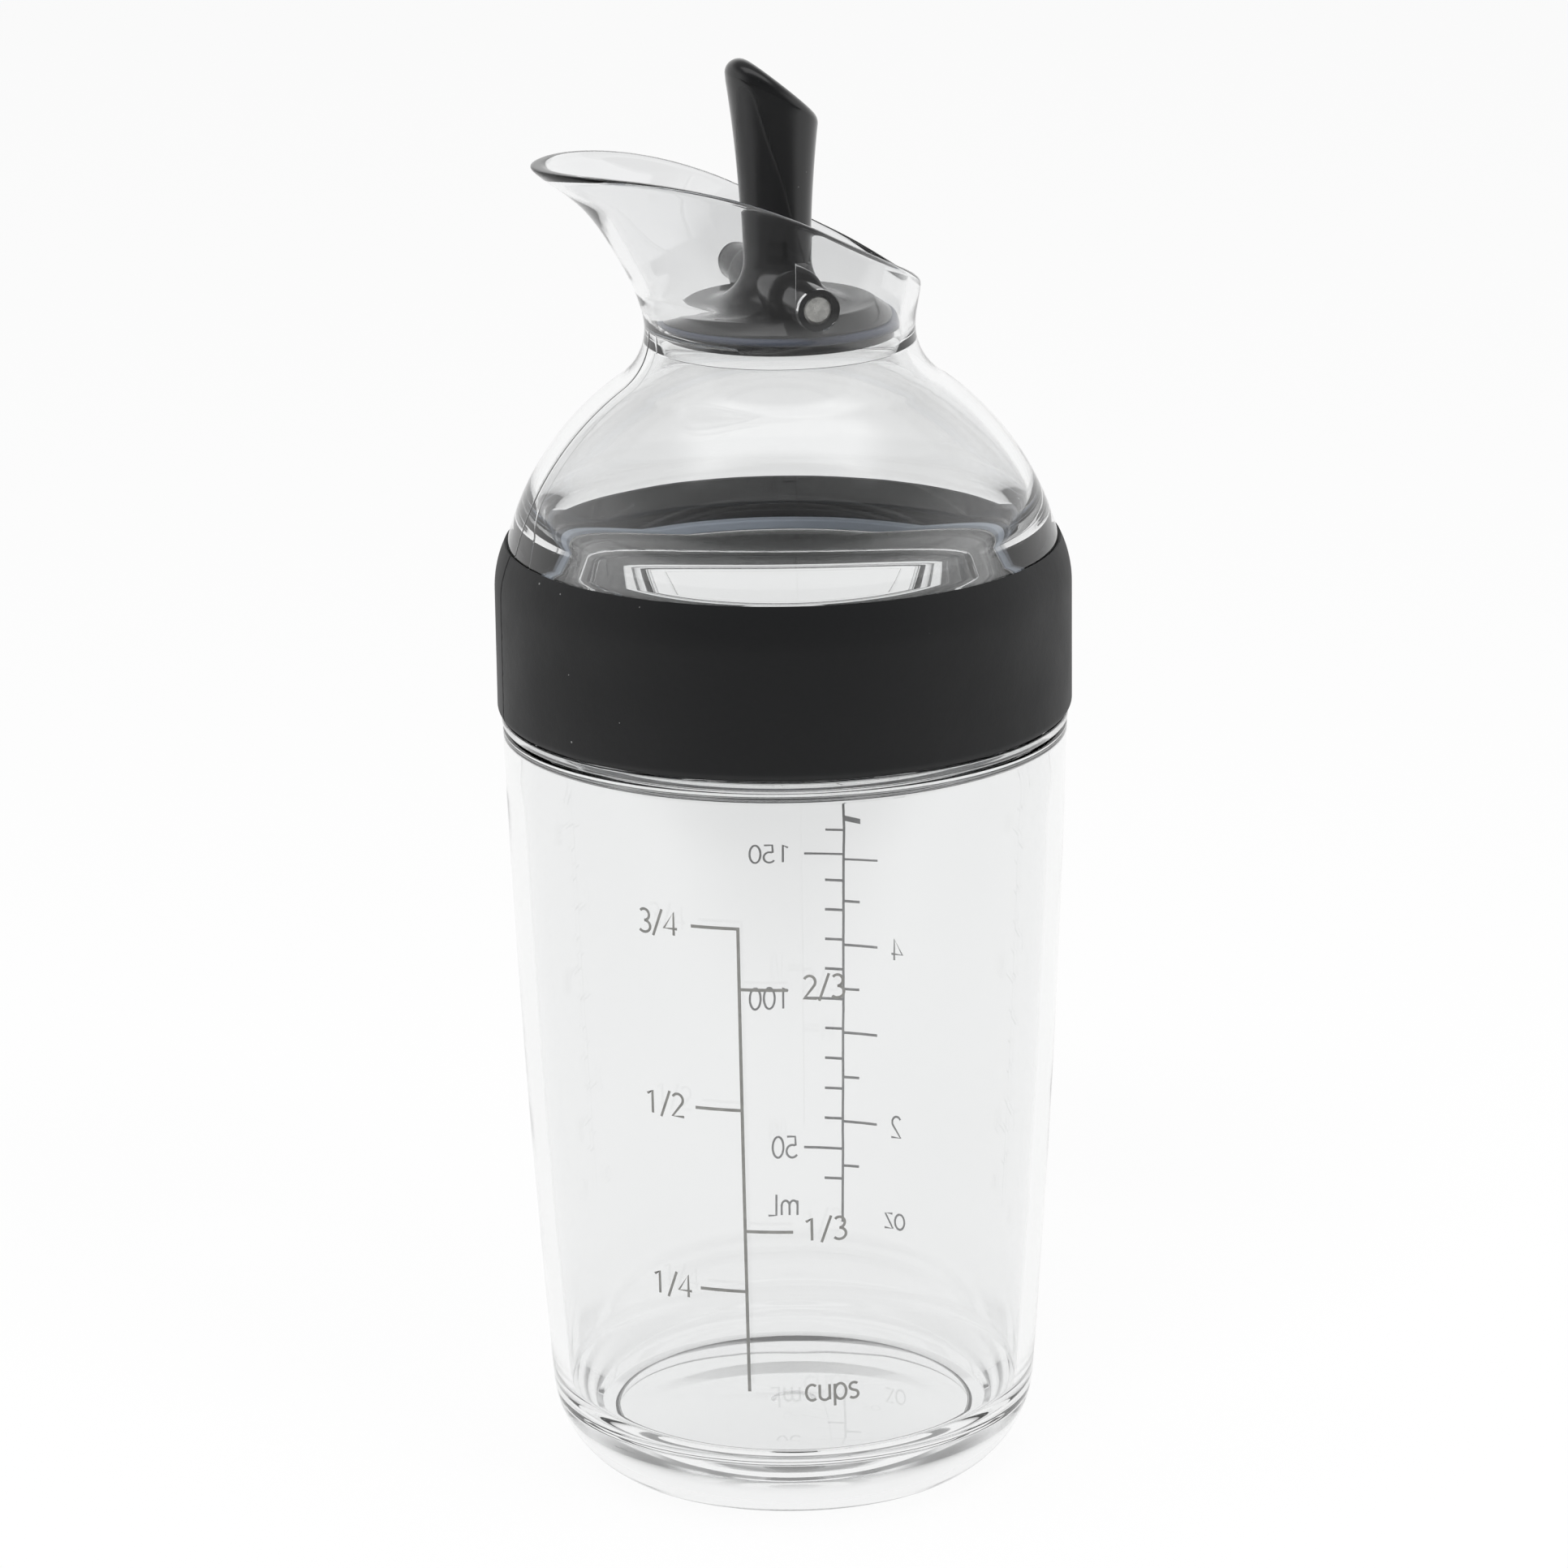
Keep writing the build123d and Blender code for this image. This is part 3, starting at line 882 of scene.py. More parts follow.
@dataclass
class GripBand:
    """The soft ring round the lid, with the flash line where its mould halves meet."""

    sizes: Sizes = SIZES
    columns: int = 256
    fit: float = 0.05
    bottom_round: float = 1.1
    straight: float = 15.0
    top_edge: float = 0.25
    flash_angle: float = math.radians(175.5)
    flash_depth: float = 0.16
    flash_width: float = 0.13
    flash_reach: float = math.radians(1.2)
    wander: tuple[tuple[float, float, float], ...] = ((0.05, 1.7, 0.0), (0.03, 4.3, 1.0))
    nick_waves: tuple[tuple[float, float], ...] = ((0.83, 0.6), (2.1, 0.0))
    nick_from: float = 0.55
    nick_growth: float = 2.0
    edge_land: float = 0.1
    flash_start: float = 0.05
    side_step: float = 0.45

    def shell(self) -> Shell:
        """The ring: a round lower edge, a straight side and a soft lean towards the dome.

        Returns:
            The ring. Its flash line is a bell-shaped groove that wanders by the sum of two sine
            waves and is wider where the product of two others is high.
        """
        s = self.sizes
        low, high = s.band_bottom + self.fit, s.band_top - self.fit
        inner = s.band_seat + self.fit
        bend, bend_top = s.band - self.bottom_round, low + self.bottom_round
        side_top, land = (s.band, low + self.straight), self.edge_land
        corner = arc_about((bend, bend_top), (bend, low), (s.band, bend_top), 12)
        side = divided((s.band, bend_top), side_top, self.side_step)
        lean = tangent_arc(side_top, (0, 1), (inner + self.top_edge, high), 14)
        back = np.array([(inner, high - land), (inner, low + land), (inner + land, low)])
        profile = chained(corner, side, lean, back)
        angles = clustered_angles(self.columns, self.flash_angle, self.flash_reach, 25)
        away = (angles[None] - self.flash_angle) * s.band
        height = profile[:, 1, None]
        wander = sum(size * np.sin(height * rate + lag) for size, rate, lag in self.wander)
        first, second = (np.sin(height * rate + lag) for rate, lag in self.nick_waves)
        nick = np.clip(first * second - self.nick_from, 0, 1) * self.nick_growth
        groove = np.exp(-(((away - wander) / (self.flash_width * (1 + nick))) ** 2))
        outside = profile[:, 0, None] > inner + self.top_edge / 2
        shown = outside * (height > low + self.flash_start)
        return skin(circled(profile, angles, -self.flash_depth * groove * shown), looped=True)


@dataclass
class Gasket:
    """The silicone ring in the lid that the tumbler's rim presses on."""

    sizes: Sizes = SIZES
    columns: int = 192
    fit: float = 0.05
    inset: float = 0.15
    side_gap: float = 0.3
    edge: float = 0.25
    start_gap: float = 0.1

    def shell(self) -> Shell:
        """The ring with round edges."""
        s = self.sizes
        low, high = s.rim_height + self.fit, s.ledge - self.fit
        inner, outer = s.mouth + self.inset, s.skirt_inner - self.side_gap
        middle = (inner + outer) / 2
        profile = rounded(
            [
                (middle, low, 0),
                (outer, low, self.edge),
                (outer, high, self.edge),
                (inner, high, self.edge),
                (inner, low, self.edge),
                (middle - self.start_gap, low, 0),
            ]
        )
        return skin(turned(profile, even_angles(self.columns)), looped=True)


# Lever, pin and stopper


@dataclass
class Lever:
    """The black moulding: knob, stem, trunnion arms and stopper cap."""

    sizes: Sizes = SIZES
    columns: int = 128
    cap_drop: float = 1.8
    cap_height: float = 1.7
    cap_inset: float = 0.96
    cap_top_inset: float = 3.0
    cap_side: float = 0.3
    cap_round: float = 0.8
    cap_edge: float = 0.15
    cap_side_round: float = 0.3
    socket_edge: float = 0.1
    axis_gap: float = 0.4
    flare_land: float = 0.9
    socket_inset: float = 2.76
    socket_depth: float = 0.95
    stem: float = 4.0
    flare: float = 5.0
    mid_swell: float = 0.74
    mid_rise: float = 16.5
    top_swell: float = 2.75
    face_rise: float = 23.7
    face_slope: float = math.radians(40.5)
    head_room: float = 1.0
    edge_round: float = 1.65
    dish: float = 0.35
    face_centre: float = 0.06
    trunnion: float = 2.4
    trunnion_half: float = 15.45
    trunnion_edge: float = 0.15
    collar: float = 3.4
    collar_half: float = 8.01
    collar_edge: float = 0.6
    pin_bore: float = 1.67
    bore_edge: float = 0.1
    bore_over: float = 2.0
    rod_centre: float = 0.3
    pocket: tuple[float, float] = (2.4, 2.7)
    pocket_shift: float = 1.0
    pocket_sink: float = 0.2
    pocket_depth: float = 0.8
    pocket_low_round: float = 0.3
    pocket_high_round: float = 0.5

    @property
    def cap_top(self) -> float:
        """Height of the cap's upper face."""
        return self.sizes.pin_z - self.cap_drop

    @property
    def cap_bottom(self) -> float:
        """Height of the cap's lower edge."""
        return self.cap_top - self.cap_height

    def stem_radius(self, heights: np.ndarray) -> np.ndarray:
        """Radius of the stem: the circle through its foot, its middle and the knob's top."""
        pin = self.sizes.pin_z
        wide = self.stem + self.top_swell
        top = pin + self.face_rise + wide * math.tan(self.face_slope) + self.head_room
        line = arc_through(
            (self.stem, self.cap_top + self.flare),
            (self.stem + self.mid_swell, pin + self.mid_rise),
            (wide, top),
            64,
        )
        return np.interp(heights, line[:, 1], line[:, 0])

    def knob(self, angles: np.ndarray) -> tuple[np.ndarray, np.ndarray, np.ndarray]:
        """The knob's slanted end.

        Args:
            angles: Angles of the columns about the stem's axis.

        Returns:
            Rows of radius over the rounded edge and the face, their heights, and the height where
            the edge leaves the stem. In each column's plane the edge is the arc that touches both
            the stem and the slanted line of the face.
        """
        middle = self.sizes.pin_z + self.face_rise
        fall = math.tan(self.face_slope) * np.cos(angles)
        height = np.full(angles.shape, middle)
        for _ in range(8):
            height = middle - fall * self.stem_radius(height)
        corner = np.stack((self.stem_radius(height), height), axis=-1)
        down = corner - np.stack((self.stem_radius(height - 1.0), height - 1.0), axis=-1)
        down = -down / np.linalg.norm(down, axis=-1, keepdims=True)
        inward = np.stack((-np.ones_like(fall), fall), axis=-1)
        inward /= np.linalg.norm(inward, axis=-1, keepdims=True)
        half = np.arccos(np.clip((down * inward).sum(axis=-1), -1, 1)) / 2
        cut = (self.edge_round / np.tan(half))[:, None]
        bisector = down + inward
        bisector /= np.linalg.norm(bisector, axis=-1, keepdims=True)
        centre = corner + bisector * (self.edge_round / np.sin(half))[:, None]
        first, last = corner + down * cut - centre, corner + inward * cut - centre
        sweep = (math.pi - 2 * half)[:, None]
        share = np.linspace(0, 1, 13)[:, None, None]
        swept = np.sin((1 - share) * sweep) * first + np.sin(share * sweep) * last
        edge = centre + swept / np.sin(sweep)
        reach = np.linspace(1, self.face_centre, 12)[1:, None]
        face_radius = reach * edge[-1, :, 0]
        face_height = middle - fall * face_radius - self.dish * (1 - reach**2) ** 1.5
        radius = np.concatenate((edge[..., 0], face_radius))
        return radius, np.concatenate((edge[..., 1], face_height)), edge[0, :, 1]

    def shell(self) -> Shell:
        """Cap, flare, stem and knob as one surface whose middle shifts under the stem."""
        s = self.sizes
        angles = even_angles(self.columns)
        outer, top_edge = s.bore - self.cap_inset, s.bore - self.cap_top_inset
        socket = s.bore - self.socket_inset
        roof = self.cap_bottom + self.socket_depth
        flare_foot, flare_top = self.stem + self.flare, self.cap_top + self.flare
        cap = rounded(
            [
                (self.axis_gap, roof, 0),
                (socket, roof, self.cap_edge),
                (socket, self.cap_bottom, self.socket_edge),
                (outer, self.cap_bottom, self.cap_edge),
                (outer, self.cap_bottom + self.cap_side, self.cap_side_round),
                (top_edge, self.cap_top, self.cap_round),
                (flare_foot + self.flare_land, self.cap_top, 0),
            ]
        )
        flare = arc_about(
            (flare_foot, flare_top), (flare_foot, self.cap_top), (self.stem, flare_top), 14
        )
        radius, height, edge_height = self.knob(angles)
        share = np.linspace(0, 1, 30)[1:-1, None]
        stem_height = flare_top + share * (edge_height - flare_top)
        base = np.concatenate((cap, flare))[..., None] + 0 * angles
        radii = np.concatenate((base[:, 0], self.stem_radius(stem_height), radius))
        heights = np.concatenate((base[:, 1], stem_height, height))
        shift = np.concatenate((np.zeros(len(cap)), np.full(len(radii) - len(cap), s.lever_x)))
        x = shift[:, None] + radii * np.cos(angles)
        return skin(np.stack((x, radii * np.sin(angles), heights), axis=-1), foot=True, head=True)

    def rod(self, radius: float, half: float, edge: float) -> Shell:
        """A round bar along Y through the pin's axis, with softened ends."""
        s, centre = self.sizes, self.rod_centre
        profile = rounded(
            [(centre, -half, 0), (radius, -half, edge), (radius, half, edge), (centre, half, 0)], 5
        )
        rings = turned(profile, even_angles(96))
        return skin(laid_along_y(rings, s.pin_x, s.pin_z), foot=True, head=True)

    def pockets(self) -> list[Shell]:
        """The moulding pockets beside the stem, just above the collars."""
        wide, tall = self.pocket
        middle = self.sizes.pin_z + self.collar - self.pocket_sink + tall / 2
        reach = (self.stem - self.pocket_depth, self.stem + self.flare)
        outline = rounded(
            [
                (0, -tall / 2, 0),
                (wide / 2, -tall / 2, self.pocket_low_round),
                (wide / 2, tall / 2, self.pocket_high_round),
                (-wide / 2, tall / 2, self.pocket_high_round),
                (-wide / 2, -tall / 2, self.pocket_low_round),
                (-0.05, -tall / 2, 0),
            ],
            4,
        )
        shells = []
        for turn in (-1, 1):
            ends = [
                np.stack(
                    (
                        self.sizes.pin_x - self.pocket_shift - outline[:, 0],
                        np.full(len(outline), end),
                        middle + outline[:, 1],
                    ),
                    axis=1,
                )
                for end in sorted(turn * place for place in reach)
            ]
            shells.append(skin(np.stack(ends), foot=True, head=True))
        return shells


@dataclass
class Stopper:
    """The pin, the soft seal and its retainer, which move with the lever."""

    sizes: Sizes = SIZES
    lever: Lever = field(default_factory=Lever)
    pin: float = 1.65
    pin_half: float = 15.4
    pin_chamfer: float = 0.3
    seal_fit: float = 0.05
    seal_thick: float = 0.9
    seal_inset: float = 0.11
    seal_edge: float = 0.1
    seal_start: float = 1.0
    seal_end: float = 0.9
    lip_share: float = 0.98
    retainer_inset: float = 0.96
    retainer_thick: float = 1.25
    retainer_round: float = 0.35
    retainer_edge: float = 0.1
    spigot_foot_round: float = 0.05
    spigot_round: float = 0.2
    spigot_play: float = 1.2
    dish_inset: float = 5.26
    dish_depth: float = 0.4
    dish_round: float = 0.2
    dish_edge: float = 0.15
    axis_gap: float = 0.4
    crown: float = 0.04
    pin_centre: float = 0.12

    @property
    def seal_top(self) -> float:
        """Height of the seal's upper face."""
        return self.lever.cap_bottom - self.seal_fit

    def pin_shell(self) -> Shell:
        """The steel pin: a wire cut at both ends, each end with a chamfer and a slight crown."""
        s = self.sizes
        crown, half, reach = self.crown, self.pin_half, self.pin - self.pin_chamfer
        end = [(self.pin_centre, half), (0.5 * reach, half - 0.25 * crown), (reach, half - crown)]
        profile = np.array(
            [(r, -z) for r, z in end]
            + [(self.pin, -half + self.pin_chamfer), (self.pin, half - self.pin_chamfer)]
            + end[::-1]
        )
        rings = turned(profile, even_angles(64))
        return skin(laid_along_y(rings, s.pin_x, s.pin_z), foot=True, head=True)

    def seal_shell(self) -> Shell:
        """The flat ring with a round lip."""
        s = self.sizes
        outer = s.bore - self.seal_inset
        inner = s.bore - self.lever.socket_inset
        low, half = self.seal_top - self.seal_thick, self.seal_thick / 2
        profile = rounded(
            [
                (inner + self.seal_start, low, 0),
                (outer, low, half * self.lip_share),
                (outer, self.seal_top, half * self.lip_share),
                (inner, self.seal_top, self.seal_edge),
                (inner, low, self.seal_edge),
                (inner + self.seal_end, low, 0),
            ],
            8,
        )
        return skin(turned(profile, even_angles(160)), looped=True)

    def retainer_shell(self) -> Shell:
        """The disc and the spigot that the cap's socket holds."""
        s = self.sizes
        top = self.seal_top - self.seal_thick - self.seal_fit
        low = top - self.retainer_thick
        outer, dish = s.bore - self.retainer_inset, s.bore - self.dish_inset
        spigot = s.bore - self.lever.socket_inset - self.seal_fit
        roof = self.lever.cap_bottom + self.lever.socket_depth
        head = roof - self.seal_fit * self.spigot_play
        profile = rounded(
            [
                (self.axis_gap, low + self.dish_depth, 0),
                (dish, low + self.dish_depth, self.dish_round),
                (dish, low, self.dish_edge),
                (outer, low, self.retainer_round),
                (outer, top, self.retainer_edge),
                (spigot, top, self.spigot_foot_round),
                (spigot, head, self.spigot_round),
                (self.axis_gap, head, 0),
            ]
        )
        return skin(turned(profile, even_angles(128)), foot=True, head=True)


# Printed scales


class Side(Enum):
    """Which way a scale's ticks and words go from its line, seen from outside."""

    LEFT = -1
    RIGHT = 1


def bow(x: float, y: float, wide: float, tall: float, start: float, end: float) -> np.ndarray:
    """Points of a stroke that follows an ellipse between two angles in degrees."""
    angle = np.radians(np.linspace(start, end, 3 + round(abs(end - start) / 14)))
    return np.stack((x + wide * np.cos(angle), y + tall * np.sin(angle)), axis=1)


def line(*points: tuple[float, float]) -> np.ndarray:
    """Points of a stroke with straight parts."""
    return np.array(points, float)


def glyphs() -> dict[str, tuple[float, list[np.ndarray]]]:
    """Each character's width and strokes, for capitals one unit tall."""
    two = np.vstack((bow(0.26, 0.73, 0.22, 0.27, 150, -38), line((0.04, 0.0), (0.52, 0.0))))
    five_head = line((0.48, 1.0), (0.12, 1.0), (0.10, 0.58))
    five = np.vstack((five_head, bow(0.25, 0.30, 0.25, 0.30, 112, -146)))
    snake = np.vstack(
        (bow(0.23, 0.53, 0.17, 0.17, 40, 250), bow(0.21, 0.17, 0.18, 0.18, 70, -140))
    )
    return {
        "0": (0.62, [bow(0.28, 0.5, 0.24, 0.5, 90, 450)]),
        "1": (0.66, [line((0.10, 0.84), (0.32, 1.0), (0.32, 0.0))]),
        "2": (0.60, [two]),
        "3": (
            0.60,
            [
                bow(0.25, 0.755, 0.21, 0.245, 140, -90),
                bow(0.25, 0.255, 0.25, 0.255, 90, -142),
            ],
        ),
        "4": (0.62, [line((0.42, 0.0), (0.42, 1.0), (0.02, 0.29), (0.56, 0.29))]),
        "5": (0.60, [five]),
        "6": (0.62, [bow(0.29, 0.31, 0.24, 0.31, 0, 360), bow(0.52, 0.31, 0.47, 0.69, 92, 180)]),
        "/": (0.46, [line((0.02, -0.10), (0.40, 1.08))]),
        "c": (0.50, [bow(0.28, 0.35, 0.23, 0.36, 52, 308)]),
        "u": (
            0.57,
            [
                np.vstack((line((0.07, 0.70)), bow(0.26, 0.20, 0.19, 0.21, 180, 330))),
                line((0.45, 0.70), (0.45, 0.0)),
            ],
        ),
        "p": (0.60, [line((0.08, -0.30), (0.08, 0.70)), bow(0.30, 0.35, 0.22, 0.36, 160, -160)]),
        "s": (0.46, [snake]),
        "o": (0.60, [bow(0.29, 0.35, 0.24, 0.36, 90, 450)]),
        "z": (0.50, [line((0.06, 0.70), (0.42, 0.70), (0.04, 0.0), (0.45, 0.0))]),
        "m": (
            0.92,
            [
                line((0.08, 0.0), (0.08, 0.70)),
                np.vstack((bow(0.255, 0.45, 0.175, 0.25, 160, 0), line((0.43, 0.0)))),
                np.vstack((bow(0.605, 0.45, 0.175, 0.25, 160, 0), line((0.78, 0.0)))),
            ],
        ),
        "L": (0.48, [line((0.10, 1.0), (0.10, 0.0), (0.46, 0.0))]),
    }


@dataclass
class Scale:
    """A printed scale: one upright line with ticks and words, on the tumbler's outside."""

    angle: float
    foot: float
    stroke: float
    letter: float
    sizes: Sizes = SIZES
    lift: float = 0.0
    ink_height: float = 0.03
    ink_gap: float = 0.004
    pen: float = 0.32
    spread: float = 1.1
    bar_step: float = 1.5
    floor_height: float = 7.06
    per_millilitre: float = 0.3965
    widening: float = 0.654
    strokes: list[tuple[np.ndarray, float]] = field(default_factory=list)

    def level(self, volume: float) -> float:
        """Height of a volume in millilitres above the base: a parabola, as the jar widens."""
        straight = self.floor_height + self.lift + self.per_millilitre * volume
        return straight - self.widening * (volume / 100) ** 2

    def tick(self, height: float, reach: float, side: Side) -> None:
        """A level tick that starts on the line."""
        self.strokes.append((line((0.0, height), (side.value * reach, height)), self.stroke))

    def words(self, text: str, start: float, base: float) -> None:
        """A word whose first character starts at a place along the surface."""
        for character in text:
            width, strokes = glyphs()[character]
            for points in strokes:
                placed = points * (self.letter * self.spread, self.letter) + (start, base)
                self.strokes.append((placed, self.pen))
            start += width * self.letter * self.spread

    def centred(self, text: str, start: float, middle: float) -> None:
        """A word whose capitals are centred on a height."""
        self.words(text, start, middle - self.letter / 2)

    def upright(self, top: float) -> None:
        """The scale's long line."""
        self.strokes.append((line((0.0, self.foot), (0.0, top)), self.stroke))

    def ribbon(self, points: np.ndarray, width: float) -> Shell:
        """A thin closed bar along a stroke, laid on the tumbler.

        Args:
            points: The stroke's points along the surface and up.
            width: Width of the stroke.

        Returns:
            The bar. Its corners lie half a width to each side of the stroke's line, on the wall
            and an ink film above it.
        """
        if len(points) == 2:
            count = max(2, round(float(np.abs(points[1] - points[0]).sum()) / self.bar_step))
            points = points[0] + (points[1] - points[0]) * np.linspace(0, 1, count)[:, None]
        ahead = np.gradient(points, axis=0)
        ahead /= np.linalg.norm(ahead, axis=1, keepdims=True)
        left = np.stack((-ahead[:, 1], ahead[:, 0]), axis=1) * width / 2
        flat = np.stack((points + left, points - left, points - left, points + left), axis=1)
        lift = np.array([self.ink_height, self.ink_height, self.ink_gap, self.ink_gap])
        radius = self.sizes.wall(flat[..., 1]) + lift
        turn = self.angle + flat[..., 0] / radius
        return skin(
            np.stack((radius * np.cos(turn), radius * np.sin(turn), flat[..., 1]), axis=-1),
            foot=True,
            head=True,
        )

    def shell(self) -> Shell:
        """All strokes as one shell."""
        return Shell.joined([self.ribbon(points, width) for points, width in self.strokes])


def cup_scale() -> Scale:
    """The scale at the front: quarters and halves to the left, thirds to the right."""
    cup, reach = 236.6, 5.6
    raised = 0.3
    scale = Scale(math.radians(-118.5), foot=17.5, stroke=0.38, letter=2.8)
    top = scale.level(cup * 3 / 4)
    scale.upright(top + scale.stroke / 2)
    for part, text, start in ((3 / 4, "3/4", -12.3), (1 / 2, "1/2", -12.1), (1 / 4, "1/4", -11.9)):
        scale.tick(scale.level(cup * part), reach, Side.LEFT)
        scale.centred(text, start, scale.level(cup * part))
    for part, text, start in ((2 / 3, "2/3", 7.3), (1 / 3, "1/3", 6.8)):
        scale.tick(scale.level(cup * part), reach, Side.RIGHT)
        scale.centred(text, start, scale.level(cup * part) + raised)
    scale.words("cups", 6.5, 16.4)
    return scale


def small_scale() -> Scale:
    """The scale at the back: millilitres to one side, ounces to the other."""
    ounce = 29.57
    long_ml, short_ml, long_oz, short_oz = 5.2, 2.45, 4.65, 2.2
    start_two, start_three, start_oz = 6.0, 7.0, -8.3
    scale = Scale(math.radians(58.4), foot=17.7, stroke=0.33, letter=2.7, pen=0.28, lift=0.5)
    scale.upright(scale.level(6 * ounce))
    for step in range(4, 18):
        volume = 10 * step
        whole = step % 5 == 0
        scale.tick(scale.level(volume), long_ml if whole else short_ml, Side.RIGHT)
        if whole:
            start = start_three if volume > 99 else start_two
            scale.centred(str(volume), start, scale.level(volume))
    for step in range(3, 13):
        height = scale.level(step * ounce / 2)
        scale.tick(height, short_oz if step % 2 else long_oz, Side.LEFT)
        if step % 4 == 0:
            scale.centred(str(step // 2), start_oz, height)
    scale.words("mL", 5.8, 18.4)
    scale.words("oz", -9.0, 17.6)
    return scale


# Finishes


@dataclass
class Nodes:
    """A node tree with short calls to add nodes and join them."""

    tree: bpy.types.NodeTree

    def add(self, kind: str, **values: object) -> bpy.types.Node:
        """A node of a kind. A value goes to the node's property or, failing that, its input."""
        node = self.tree.nodes.new(kind)
        for name, value in values.items():
            if name in node.bl_rna.properties:
                setattr(node, name, value)
            else:
                node.inputs[name.replace("_", " ")].default_value = value
        return node

    def join(self, source: bpy.types.NodeSocket, target: bpy.types.NodeSocket) -> None:
        """A link from an output to an input."""
        self.tree.links.new(source, target)

    def maths(self, operation: str, *values: object) -> bpy.types.NodeSocket:
        """The result of a Math node whose inputs are sockets or numbers."""
        node = self.add("ShaderNodeMath", operation=operation)
        for socket, value in zip(node.inputs, values):
            if isinstance(value, bpy.types.NodeSocket):
                self.join(value, socket)
            else:
                socket.default_value = value
        return node.outputs[0]


class Effect(Enum):
    """Surface effects that several finishes share, each a node group."""

    RIPPLE = "ripple"
    SPECKS = "specks"
    SMUDGE = "smudge"
    RISE = "rise"


def group(effect: Effect, inputs: dict[str, float], output: str) -> Nodes:
    """The nodes of an empty node group with number inputs and one number output."""
    tree = bpy.data.node_groups.new(effect.value, "ShaderNodeTree")
    for name, value in inputs.items():
        socket = tree.interface.new_socket(name, in_out="INPUT", socket_type="NodeSocketFloat")
        socket.default_value = value
    tree.interface.new_socket(output, in_out="OUTPUT", socket_type="NodeSocketFloat")
    return Nodes(tree)


def ripple_group() -> None:
    """Slow waves with a finer wave on them, as a moulded or polished surface has."""
    nodes = group(Effect.RIPPLE, {"Scale": 60.0, "Fine": 0.25}, "Height")
    entry, out = nodes.add("NodeGroupInput"), nodes.add("NodeGroupOutput")
    place = nodes.add("ShaderNodeTexCoord")
    slow = nodes.add("ShaderNodeTexNoise", Detail=2.0, Roughness=0.5)
    fine = nodes.add("ShaderNodeTexNoise", Detail=2.0, Roughness=0.6)
    for noise in (slow, fine):
        nodes.join(place.outputs["Object"], noise.inputs["Vector"])
    nodes.join(entry.outputs["Scale"], slow.inputs["Scale"])
    finer = 6.0
    nodes.join(nodes.maths("MULTIPLY", entry.outputs["Scale"], finer), fine.inputs["Scale"])
    small = nodes.maths("MULTIPLY", fine.outputs[0], entry.outputs["Fine"])
    nodes.join(nodes.maths("ADD", slow.outputs[0], small), out.inputs[0])


def specks_group() -> None:
    """Sparse specks of lint: the hearts of cells, kept where a wider noise is high."""
    nodes = group(Effect.SPECKS, {"Scale": 900.0, "Size": 0.12, "Share": 0.6}, "Mask")
    entry, out = nodes.add("NodeGroupInput"), nodes.add("NodeGroupOutput")
    place = nodes.add("ShaderNodeTexCoord")
    cells = nodes.add("ShaderNodeTexVoronoi", Randomness=1.0)
    patch = nodes.add("ShaderNodeTexNoise", Detail=1.0)
    for texture in (cells, patch):
        nodes.join(place.outputs["Object"], texture.inputs["Vector"])
    nodes.join(entry.outputs["Scale"], cells.inputs["Scale"])
    wider = 0.35
    nodes.join(nodes.maths("MULTIPLY", entry.outputs["Scale"], wider), patch.inputs["Scale"])
    near = nodes.maths("LESS_THAN", cells.outputs["Distance"], entry.outputs["Size"])
    kept = nodes.maths("GREATER_THAN", patch.outputs[0], entry.outputs["Share"])
    nodes.join(nodes.maths("MULTIPLY", near, kept), out.inputs[0])


def smudge_group() -> None:
    """Soft patches between two values, as handling leaves them."""
    nodes = group(Effect.SMUDGE, {"Scale": 70.0, "Low": 0.1, "High": 0.2}, "Value")
    entry, out = nodes.add("NodeGroupInput"), nodes.add("NodeGroupOutput")
    place = nodes.add("ShaderNodeTexCoord")
    noise = nodes.add("ShaderNodeTexNoise", Detail=4.0, Roughness=0.55)
    spread = nodes.add("ShaderNodeMapRange")
    nodes.join(place.outputs["Object"], noise.inputs["Vector"])
    nodes.join(entry.outputs["Scale"], noise.inputs["Scale"])
    nodes.join(noise.outputs[0], spread.inputs["Value"])
    for name, level in (("From Min", 0.35), ("From Max", 0.65)):
        spread.inputs[name].default_value = level
    nodes.join(entry.outputs["Low"], spread.inputs["To Min"])
    nodes.join(entry.outputs["High"], spread.inputs["To Max"])
    nodes.join(spread.outputs[0], out.inputs[0])


def rise_group() -> None:
    """A mask that grows from 0 to 1 over a reach in metres above a starting height; it places the
    painted shade on the spout.
    """
    reach = 0.008
    nodes = group(Effect.RISE, {"Start": 0.1}, "Mask")
    entry, out = nodes.add("NodeGroupInput"), nodes.add("NodeGroupOutput")
    split = nodes.add("ShaderNodeSeparateXYZ")
    nodes.join(nodes.add("ShaderNodeTexCoord").outputs["Object"], split.inputs[0])
    above = nodes.maths("SUBTRACT", split.outputs["Z"], entry.outputs["Start"])
    share = nodes.maths("MULTIPLY", above, 1 / reach)
    nodes.join(nodes.maths("MINIMUM", nodes.maths("MAXIMUM", share, 0.0), 1.0), out.inputs[0])


@dataclass(frozen=True)
class Waves:
    """Relief by the ripple effect: waves in a metre, share of finer ones, depth in metres."""

    scale: float
    fine: float
    depth: float


@dataclass(frozen=True)
class Lint:
    """Specks of lint: cells in a metre, size within a cell, and their colour."""

    scale: float
    size: float
    colour: tuple[float, float, float]
    share: float = 0.60


